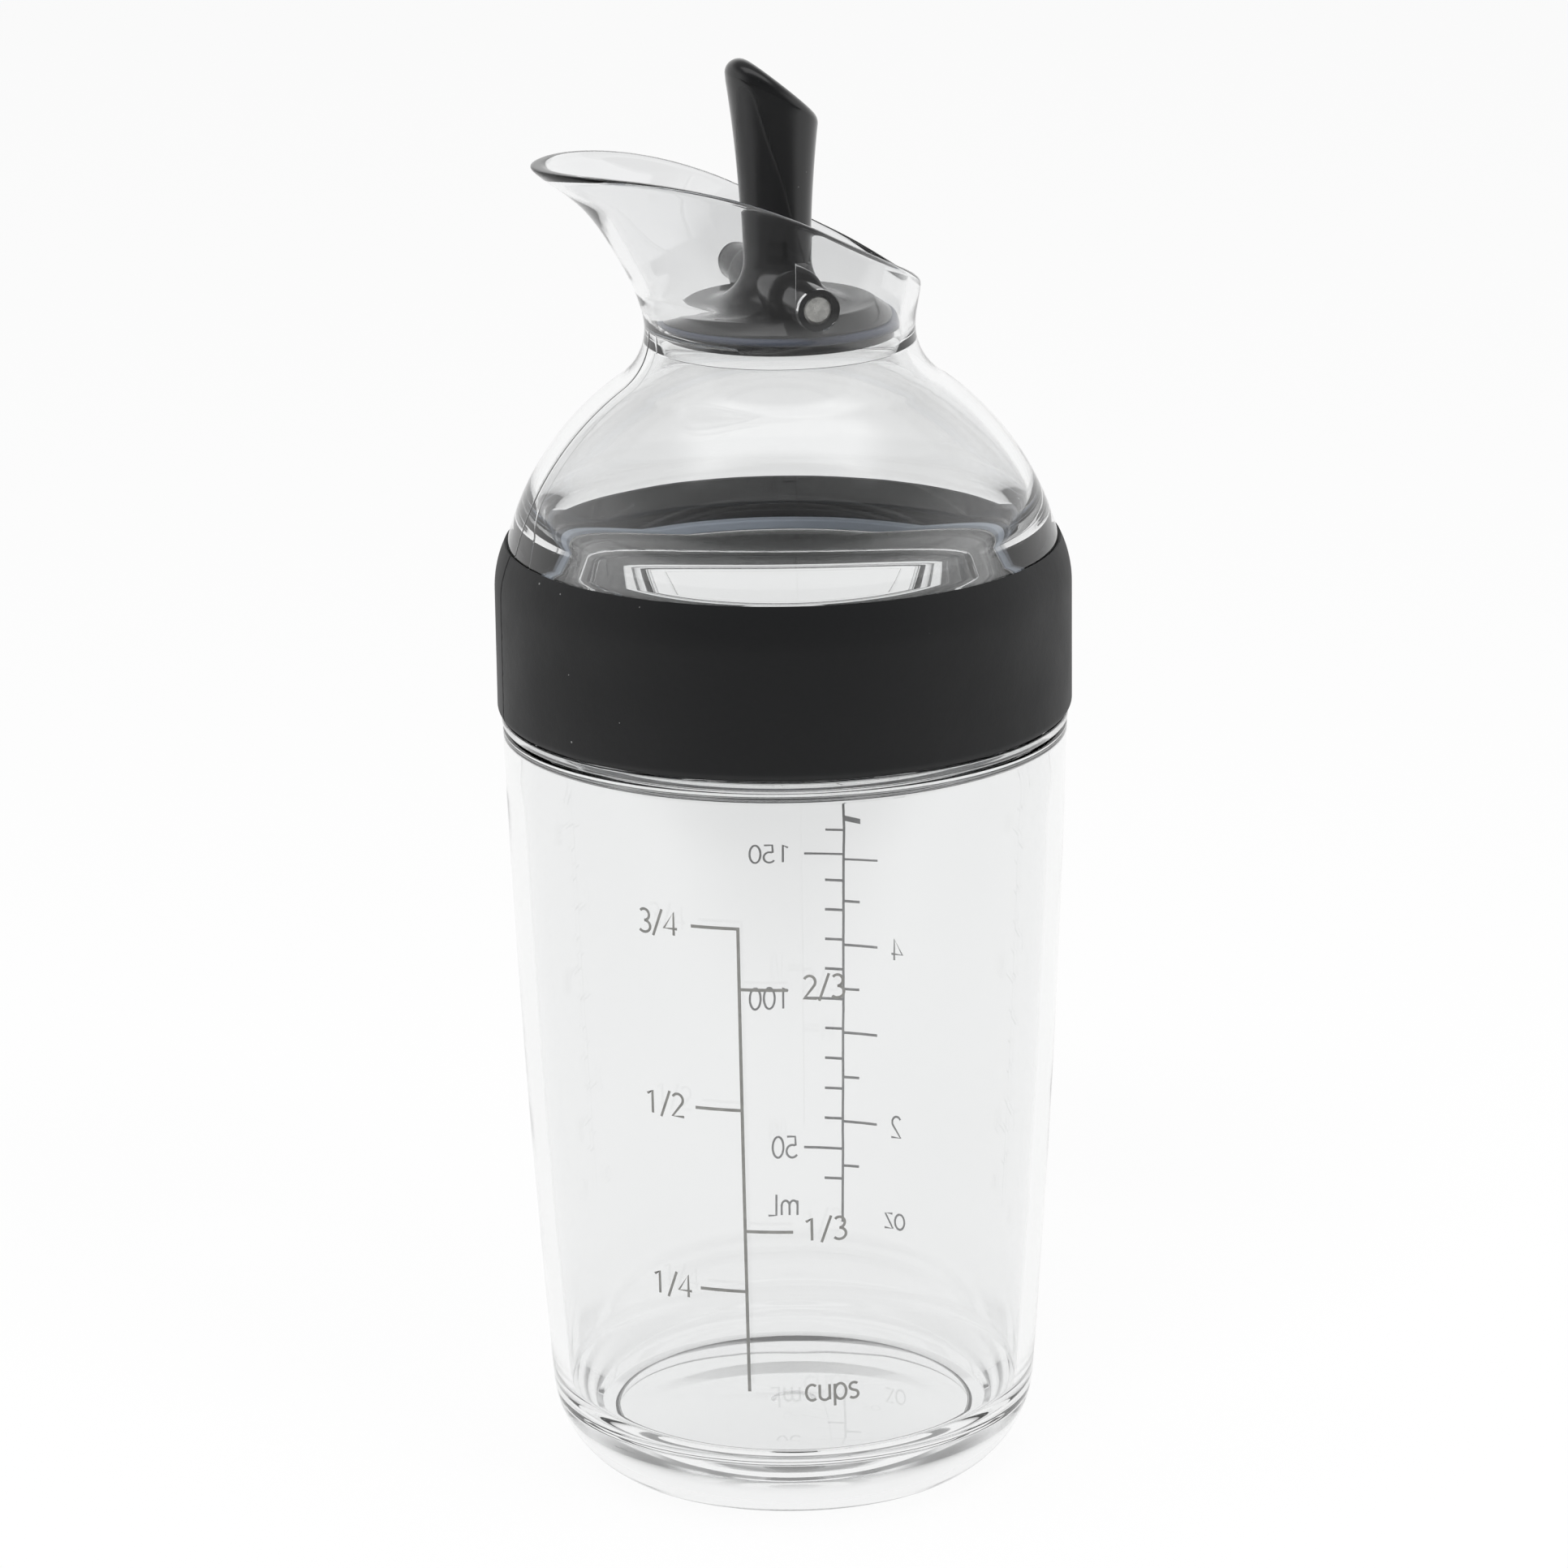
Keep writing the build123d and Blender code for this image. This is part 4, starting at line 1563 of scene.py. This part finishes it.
@dataclass(frozen=True)
class Surface:
    """A material under way: its nodes, its main shader and its output."""

    material: bpy.types.Material
    nodes: Nodes
    shader: bpy.types.Node
    output: bpy.types.Node

    @staticmethod
    def start(name: str, **values: object) -> Surface:
        """A material with one Principled shader whose sockets are set."""
        material = bpy.data.materials.new(name)
        material.use_nodes = True
        material.node_tree.nodes.clear()
        nodes = Nodes(material.node_tree)
        output = nodes.add("ShaderNodeOutputMaterial")
        shader = nodes.add("ShaderNodeBsdfPrincipled", **values)
        nodes.join(shader.outputs[0], output.inputs["Surface"])
        return Surface(material, nodes, shader, output)

    def effect(self, effect: Effect, **values: float) -> bpy.types.NodeSocket:
        """The output of a shared effect with this material's values."""
        node = self.nodes.add("ShaderNodeGroup")
        node.node_tree = bpy.data.node_groups[effect.value]
        for name, value in values.items():
            node.inputs[name].default_value = value
        return node.outputs[0]

    def relief(self, waves: Waves) -> None:
        """Waves in the surface."""
        height = self.effect(Effect.RIPPLE, Scale=waves.scale, Fine=waves.fine)
        node = self.nodes.add("ShaderNodeBump", Distance=waves.depth, Strength=1.0)
        self.nodes.join(height, node.inputs["Height"])
        self.nodes.join(node.outputs[0], self.shader.inputs["Normal"])

    def patches(self, scale: float, low: float, high: float) -> None:
        """Roughness in soft patches between two values."""
        haze = self.effect(Effect.SMUDGE, Scale=scale, Low=low, High=high)
        self.nodes.join(haze, self.shader.inputs["Roughness"])

    def linted(self, colour: tuple[float, float, float], lint: Lint) -> None:
        """A base colour with specks of lint on it."""
        specks = self.effect(Effect.SPECKS, Scale=lint.scale, Size=lint.size, Share=lint.share)
        self.mixed_colour(specks, colour, lint.colour)

    def mixed_colour(
        self, mask: bpy.types.NodeSocket, low: tuple[float, ...], high: tuple[float, ...]
    ) -> None:
        """Base colour that goes from low to high with a mask."""
        mix = self.nodes.add("ShaderNodeMix", data_type="RGBA")
        mix.inputs[6].default_value = (*low, 1.0)
        mix.inputs[7].default_value = (*high, 1.0)
        self.nodes.join(mask, mix.inputs[0])
        self.nodes.join(mix.outputs[2], self.shader.inputs["Base Color"])


@dataclass(frozen=True)
class ClearPlastic:
    """Polished clear plastic, which lets the lamps' light pass to what is behind it. An optional
    second tint above a height is painted shade.
    """

    name: str
    tint: tuple[float, float, float]
    high_tint: tuple[float, float, float] | None = None
    high_from: float = 0.141
    ior: float = 1.57
    waves: Waves = Waves(45.0, 0.02, 0.00004)

    def make(self) -> bpy.types.Material:
        """The material: a glassy shader with faint waves, clear to shadow rays, and greyed above a
        height by painted shade when a second tint is given.
        """
        surface = Surface.start(
            self.name,
            Base_Color=(*self.tint, 1.0),
            Roughness=0.0,
            IOR=self.ior,
            Transmission_Weight=1.0,
        )
        nodes = surface.nodes
        # Painted shade: the tint greys above a height, for the darker surroundings that the spout
        # reflects.
        if self.high_tint:
            rise = surface.effect(Effect.RISE, Start=self.high_from)
            surface.mixed_colour(rise, self.tint, self.high_tint)
        surface.relief(self.waves)
        passing = nodes.add("ShaderNodeBsdfTransparent", Color=(*self.tint, 1.0))
        path = nodes.add("ShaderNodeLightPath")
        mix = nodes.add("ShaderNodeMixShader")
        nodes.join(path.outputs["Is Shadow Ray"], mix.inputs[0])
        nodes.join(surface.shader.outputs[0], mix.inputs[1])
        nodes.join(passing.outputs[0], mix.inputs[2])
        nodes.join(mix.outputs[0], surface.output.inputs["Surface"])
        return surface.material


@dataclass(frozen=True)
class SoftRubber:
    """Matte rubber with lint on it and a fine tooth."""

    name: str
    colour: tuple[float, float, float]
    lint: Lint = Lint(420.0, 0.055, (0.20, 0.20, 0.20))
    patch_scale: float = 55.0
    roughness: tuple[float, float] = (0.52, 0.62)
    tooth: Waves = Waves(900.0, 0.6, 0.000025)

    def make(self) -> bpy.types.Material:
        """The material."""
        surface = Surface.start(self.name, Specular_IOR_Level=0.35, IOR=1.5)
        surface.linted(self.colour, self.lint)
        surface.patches(self.patch_scale, *self.roughness)
        surface.relief(self.tooth)
        return surface.material


@dataclass(frozen=True)
class GlossPlastic:
    """Polished black plastic with handling smudges and lint."""

    name: str
    colour: tuple[float, float, float]
    roughness: tuple[float, float] = (0.10, 0.17)
    lint: Lint = Lint(650.0, 0.04, (0.16, 0.16, 0.16))
    patch_scale: float = 120.0
    waves: Waves = Waves(110.0, 0.05, 0.00003)

    def make(self) -> bpy.types.Material:
        """The material."""
        surface = Surface.start(self.name, Specular_IOR_Level=0.5, IOR=1.5)
        surface.linted(self.colour, self.lint)
        surface.patches(self.patch_scale, *self.roughness)
        surface.relief(self.waves)
        return surface.material


@dataclass(frozen=True)
class CutSteel:
    """Stainless wire with cut, slightly uneven ends."""

    name: str
    colour: tuple[float, float, float] = (0.70, 0.69, 0.66)
    darkest: float = 0.55
    grain_scale: float = 900.0
    patch_scale: float = 500.0
    roughness: tuple[float, float] = (0.22, 0.42)
    waves: Waves = Waves(700.0, 0.5, 0.00008)

    def make(self) -> bpy.types.Material:
        """The material."""
        surface = Surface.start(self.name, Metallic=0.3)
        grain = surface.effect(Effect.SMUDGE, Scale=self.grain_scale, Low=0.0, High=1.0)
        dark = tuple(self.darkest * part for part in self.colour)
        surface.mixed_colour(grain, dark, self.colour)
        surface.patches(self.patch_scale, *self.roughness)
        surface.relief(self.waves)
        return surface.material


@dataclass(frozen=True)
class Silicone:
    """Soft silicone, more or less translucent."""

    name: str
    colour: tuple[float, float, float]
    passing: float = 0.0
    roughness: float = 0.35
    roughness_swing: float = 0.06
    patch_scale: float = 200.0
    waves: Waves = Waves(400.0, 0.4, 0.00002)

    def make(self) -> bpy.types.Material:
        """The material."""
        surface = Surface.start(
            self.name,
            Base_Color=(*self.colour, 1.0),
            Transmission_Weight=self.passing,
            IOR=1.42,
        )
        swing = self.roughness_swing
        surface.patches(self.patch_scale, self.roughness - swing, self.roughness + swing)
        surface.relief(self.waves)
        return surface.material


@dataclass(frozen=True)
class Ink:
    """Grey printing ink with a slightly uneven film."""

    name: str
    colour: tuple[float, float, float]
    palest: float = 1.25
    film_scale: float = 700.0

    def make(self) -> bpy.types.Material:
        """The material."""
        surface = Surface.start(self.name, Roughness=0.55)
        film = surface.effect(Effect.SMUDGE, Scale=self.film_scale, Low=0.0, High=1.0)
        pale = tuple(self.palest * part for part in self.colour)
        surface.mixed_colour(film, self.colour, pale)
        return surface.material


# Camera, floor and lights


@dataclass(frozen=True)
class SoftBox:
    """A lamp: its place to the camera's right, away and up, its size (metres) and its watts."""

    name: str
    at: tuple[float, float, float]
    size: tuple[float, float]
    power: float


@dataclass(frozen=True)
class Studio:
    """The camera at the photograph's place, a white floor and soft lights."""

    turn: float = math.radians(-18.5)
    pitch: float = math.radians(16.25)
    roll: float = math.radians(0.75)
    distance: float = 750.9
    height: float = 302.0
    focal_pixels: float = 8108.0
    frame_pixels: float = 1932.0
    centre_pixel: float = 968.3
    sensor: float = 36.0
    clip: tuple[float, float] = (0.02, 20.0)
    floor_drop: float = 0.3
    floor_reach: float = 4.0
    floor_white: float = 0.86
    floor_shown: float = 0.88
    floor_loss: tuple[tuple[float, float], tuple[float, float]] = ((0.14, 0.34), (0.0, 0.86))
    front_range: tuple[float, float] = (0.1, 0.75)
    front_level: float = 0.16
    high_range: tuple[float, float] = (0.35, 0.75)
    high_level: float = 0.35
    panel: tuple[float, float] = (0.5, 0.22)
    panel_soft: tuple[float, float] = (0.12, 0.10)
    panel_level: float = 1.2
    aim_height: float = 0.09
    boxes: tuple[SoftBox, ...] = (
        SoftBox("front_box", (-0.25, -0.75, 1.05), (0.50, 0.34), 9.0),
        SoftBox("side_box", (0.62, -0.62, 0.95), (0.40, 0.30), 5.0),
    )
    bounces: int = 40
    mirror_bounces: int = 8

    def camera(self) -> None:
        """The camera: its axes follow from its turn about Z, its pitch and its roll."""
        across = np.array([math.cos(self.turn), math.sin(self.turn), 0.0])
        ahead = np.array([-math.sin(self.turn), math.cos(self.turn), 0.0])
        up = np.array([0.0, 0.0, 1.0])
        look = ahead * math.cos(self.pitch) - up * math.sin(self.pitch)
        rise = ahead * math.sin(self.pitch) + up * math.cos(self.pitch)
        right = math.cos(self.roll) * across - math.sin(self.roll) * rise
        top = math.sin(self.roll) * across + math.cos(self.roll) * rise
        place = (-self.distance * ahead + self.height * up) * MM
        lens = bpy.data.cameras.new("camera")
        lens.sensor_width = self.sensor
        lens.lens = self.focal_pixels * self.sensor / self.frame_pixels
        lens.shift_x = -(self.centre_pixel - self.frame_pixels / 2) / self.frame_pixels
        lens.clip_start, lens.clip_end = self.clip
        camera = bpy.data.objects.new("camera", lens)
        matrix = Matrix.Identity(4)
        for column, axis in enumerate((right, top, -look, place)):
            for row in range(3):
                matrix[row][column] = axis[row]
        camera.matrix_world = matrix
        bpy.context.scene.collection.objects.link(camera)
        bpy.context.scene.camera = camera

    def lamp(self, box: SoftBox) -> None:
        """A soft box that faces the middle of the bottle."""
        data = bpy.data.lights.new(box.name, "AREA")
        data.shape = "RECTANGLE"
        data.size, data.size_y = box.size
        data.energy = box.power
        across = Vector((math.cos(self.turn), math.sin(self.turn), 0.0))
        ahead = Vector((-math.sin(self.turn), math.cos(self.turn), 0.0))
        lamp = bpy.data.objects.new(box.name, data)
        lamp.visible_glossy = lamp.visible_transmission = False
        lamp.location = across * box.at[0] + ahead * box.at[1] + Vector((0, 0, box.at[2]))
        aim = Vector((0, 0, self.aim_height)) - lamp.location
        lamp.rotation_euler = aim.to_track_quat("-Z", "Y").to_euler()
        bpy.context.scene.collection.objects.link(lamp)

    def floor(self) -> None:
        """A white sheet that shows white to the camera and in glass, yet keeps a faint shadow. In
        reflections its glow fades towards the camera, which is painted shade.
        """
        reach = self.floor_reach
        low = -self.floor_drop * MM
        mesh = bpy.data.meshes.new("floor")
        signs = ((-1, -1), (1, -1), (1, 1), (-1, 1))
        corners = [(x * reach, y * reach, low) for x, y in signs]
        mesh.from_pydata(corners, [], [(0, 1, 2, 3)])
        sheet = bpy.data.objects.new("floor", mesh)
        bpy.context.scene.collection.objects.link(sheet)
        white = (self.floor_white, self.floor_white, self.floor_white, 1.0)
        surface = Surface.start("floor_white", Base_Color=white, Roughness=0.9)
        nodes = surface.nodes
        surface.shader.inputs["Specular IOR Level"].default_value = 0.0
        glow = nodes.add("ShaderNodeEmission", Strength=1.0)
        path = nodes.add("ShaderNodeLightPath")
        camera, through, mirrored = (
            path.outputs[f"Is {kind} Ray"] for kind in ("Camera", "Transmission", "Glossy")
        )
        seen = nodes.maths("MAXIMUM", nodes.maths("MAXIMUM", camera, through), mirrored)
        # Painted shade: to reflections the floor's glow fades on the camera's side, for light
        # falling off there.
        loss = self.spread(nodes, self.towards(nodes, "Object"), *self.floor_loss)
        lost = nodes.maths("MULTIPLY", mirrored, loss)
        nodes.join(nodes.maths("SUBTRACT", 1.0, lost), glow.inputs["Strength"])
        mix = nodes.add("ShaderNodeMixShader")
        nodes.join(nodes.maths("MULTIPLY", seen, self.floor_shown), mix.inputs[0])
        nodes.join(surface.shader.outputs[0], mix.inputs[1])
        nodes.join(glow.outputs[0], mix.inputs[2])
        nodes.join(mix.outputs[0], surface.output.inputs["Surface"])
        mesh.materials.append(surface.material)

    def towards(self, nodes: Nodes, output: str, across: bool = False) -> bpy.types.NodeSocket:
        """How far a place or direction lies towards the camera, or to its right."""
        split = nodes.add("ShaderNodeSeparateXYZ")
        nodes.join(nodes.add("ShaderNodeTexCoord").outputs[output], split.inputs[0])
        x, y = math.sin(self.turn), -math.cos(self.turn)
        if across:
            x, y = math.cos(self.turn), math.sin(self.turn)
        return nodes.maths(
            "ADD",
            nodes.maths("MULTIPLY", split.outputs["X"], x),
            nodes.maths("MULTIPLY", split.outputs["Y"], y),
        )

    @staticmethod
    def spread(
        nodes: Nodes,
        value: bpy.types.NodeSocket,
        start: tuple[float, float],
        end: tuple[float, float],
    ) -> bpy.types.NodeSocket:
        """A value's smooth course from one range to another."""
        node = nodes.add("ShaderNodeMapRange", interpolation_type="SMOOTHSTEP")
        nodes.join(value, node.inputs["Value"])
        for name, number in zip(("From Min", "From Max", "To Min", "To Max"), start + end):
            node.inputs[name].default_value = number
        return node.outputs[0]

    def world(self) -> None:
        """White surroundings whose reflections fall to grey above and on the camera's side.

        The grey follows the direction: it deepens towards the camera and with height, and a soft
        white panel hangs overhead. The camera itself always sees white.
        """
        world = bpy.data.worlds.new("studio")
        world.use_nodes = True
        world.node_tree.nodes.clear()
        nodes = Nodes(world.node_tree)
        near = self.towards(nodes, "Generated")
        right = self.towards(nodes, "Generated", across=True)
        split = nodes.add("ShaderNodeSeparateXYZ")
        nodes.join(nodes.add("ShaderNodeTexCoord").outputs["Generated"], split.inputs[0])
        front = self.spread(nodes, near, self.front_range, (1.0, self.front_level))
        above = self.spread(nodes, split.outputs["Z"], self.high_range, (1.0, self.high_level))
        room = nodes.maths("MULTIPLY", front, above)
        sides = []
        for place, half, soft in zip((right, near), self.panel, self.panel_soft):
            away = nodes.maths("ABSOLUTE", place)
            sides.append(self.spread(nodes, away, (half - soft, half + soft), (1.0, 0.0)))
        panel = nodes.maths("MULTIPLY", *sides)
        panel = nodes.maths("MULTIPLY", panel, nodes.maths("GREATER_THAN", split.outputs["Z"], 0.0))
        level = nodes.maths("ADD", room, nodes.maths("MULTIPLY", panel, self.panel_level))
        clear = nodes.add("ShaderNodeLightPath").outputs["Is Camera Ray"]
        shown = nodes.maths(
            "ADD", nodes.maths("MULTIPLY", level, nodes.maths("SUBTRACT", 1.0, clear)), clear
        )
        glow = nodes.add("ShaderNodeBackground", Color=(1.0, 1.0, 1.0, 1.0))
        nodes.join(shown, glow.inputs["Strength"])
        out = nodes.add("ShaderNodeOutputWorld")
        nodes.join(glow.outputs[0], out.inputs["Surface"])
        bpy.context.scene.world = world

    def build(self) -> None:
        """Camera, floor, world, lamps and enough bounces for light led round in clear plastic."""
        scene = bpy.context.scene
        scene.view_settings.view_transform = "Standard"
        light = scene.cycles
        light.max_bounces = light.transmission_bounces = self.bounces
        light.glossy_bounces = self.mirror_bounces
        self.camera()
        self.floor()
        self.world()
        for box in self.boxes:
            self.lamp(box)


# The bottle


@dataclass
class Bottle:
    """All pieces of the bottle and their finishes."""

    tumbler: Tumbler = field(default_factory=Tumbler)
    lid: Lid = field(default_factory=Lid)
    band: GripBand = field(default_factory=GripBand)
    gasket: Gasket = field(default_factory=Gasket)
    lever: Lever = field(default_factory=Lever)
    stopper: Stopper = field(default_factory=Stopper)

    def jar(self) -> list[Piece]:
        """The tumbler and its printed scales."""
        jar = self.tumbler.shell()
        clear = ClearPlastic("tumbler_clear", CLEAR).make()
        front_ink = Ink("front_ink", (0.20, 0.20, 0.19)).make()
        back_ink = Ink("back_ink", (0.24, 0.24, 0.24)).make()
        return [
            Piece("tumbler_clear", jar, Body.TUMBLER, Slot.TUMBLER, clear, "tumbler"),
            Piece("cup_scale", cup_scale().shell(), Body.TUMBLER, Slot.RETAINER, front_ink),
            Piece("small_scale", small_scale().shell(), Body.TUMBLER, Slot.RETAINER, back_ink),
        ]

    def cover(self) -> list[Piece]:
        """The lid, its band and its gasket."""
        # The spout's greyer tint is painted shade for the darker surroundings its walls reflect.
        clear = ClearPlastic("lid_clear", CLEAR, SPOUT_PAINTED_SHADE).make()
        rubber = SoftRubber("band_rubber", (0.0075, 0.0078, 0.0084)).make()
        ring = Silicone("gasket_silicone", (0.55, 0.61, 0.70), passing=0.35).make()
        lid, cuts = self.lid.shell(), self.lid.bearings()
        return [
            Piece("lid_clear", lid, Body.LID, Slot.LID, clear, "lid_shell", cut=cuts),
            Piece("band_rubber", self.band.shell(), Body.LID, Slot.BAND, rubber, "grip_band"),
            Piece("gasket_ring", self.gasket.shell(), Body.GASKET, Slot.GASKET, ring, "lid_gasket"),
        ]

    def closure(self) -> list[Piece]:
        """The lever with its pin, seal and retainer."""
        gloss = GlossPlastic("lever_black", (0.007, 0.0072, 0.0076)).make()
        steel = CutSteel("pin_steel").make()
        blue = Silicone("seal_silicone", (0.035, 0.045, 0.075)).make()
        plain = GlossPlastic("retainer_black", (0.014, 0.0142, 0.015), (0.22, 0.30)).make()
        lever = self.lever
        arms = (
            lever.rod(lever.trunnion, lever.trunnion_half, lever.trunnion_edge),
            lever.rod(lever.collar, lever.collar_half, lever.collar_edge),
        )
        bore = lever.rod(lever.pin_bore, lever.trunnion_half + lever.bore_over, lever.bore_edge)
        cuts = (bore, *lever.pockets())
        handle = Piece("lever_black", lever.shell(), Body.LEVER, Slot.LEVER, gloss, "pour_lever")
        handle.added, handle.cut = arms, cuts
        pin, seal = self.stopper.pin_shell(), self.stopper.seal_shell()
        disc = self.stopper.retainer_shell()
        return [
            handle,
            Piece("pin_steel", pin, Body.LEVER, Slot.PIN, steel, "hinge_pin"),
            Piece("seal_ring", seal, Body.LEVER, Slot.SEAL, blue, "stopper_seal"),
            Piece("retainer_disc", disc, Body.LEVER, Slot.RETAINER, plain, "seal_retainer"),
        ]

    def build(self) -> None:
        """Make every piece, sub-assembly by sub-assembly."""
        for pieces in (self.jar(), self.cover(), self.closure()):
            for piece in pieces:
                piece.place()


def main() -> None:
    """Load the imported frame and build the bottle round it."""
    logging.basicConfig(level=logging.INFO, format="%(name)s: %(message)s")
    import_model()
    for make in (ripple_group, specks_group, smudge_group, rise_group):
        make()
    Bottle().build()
    Studio().build()


if __name__ == "__main__":
    main()
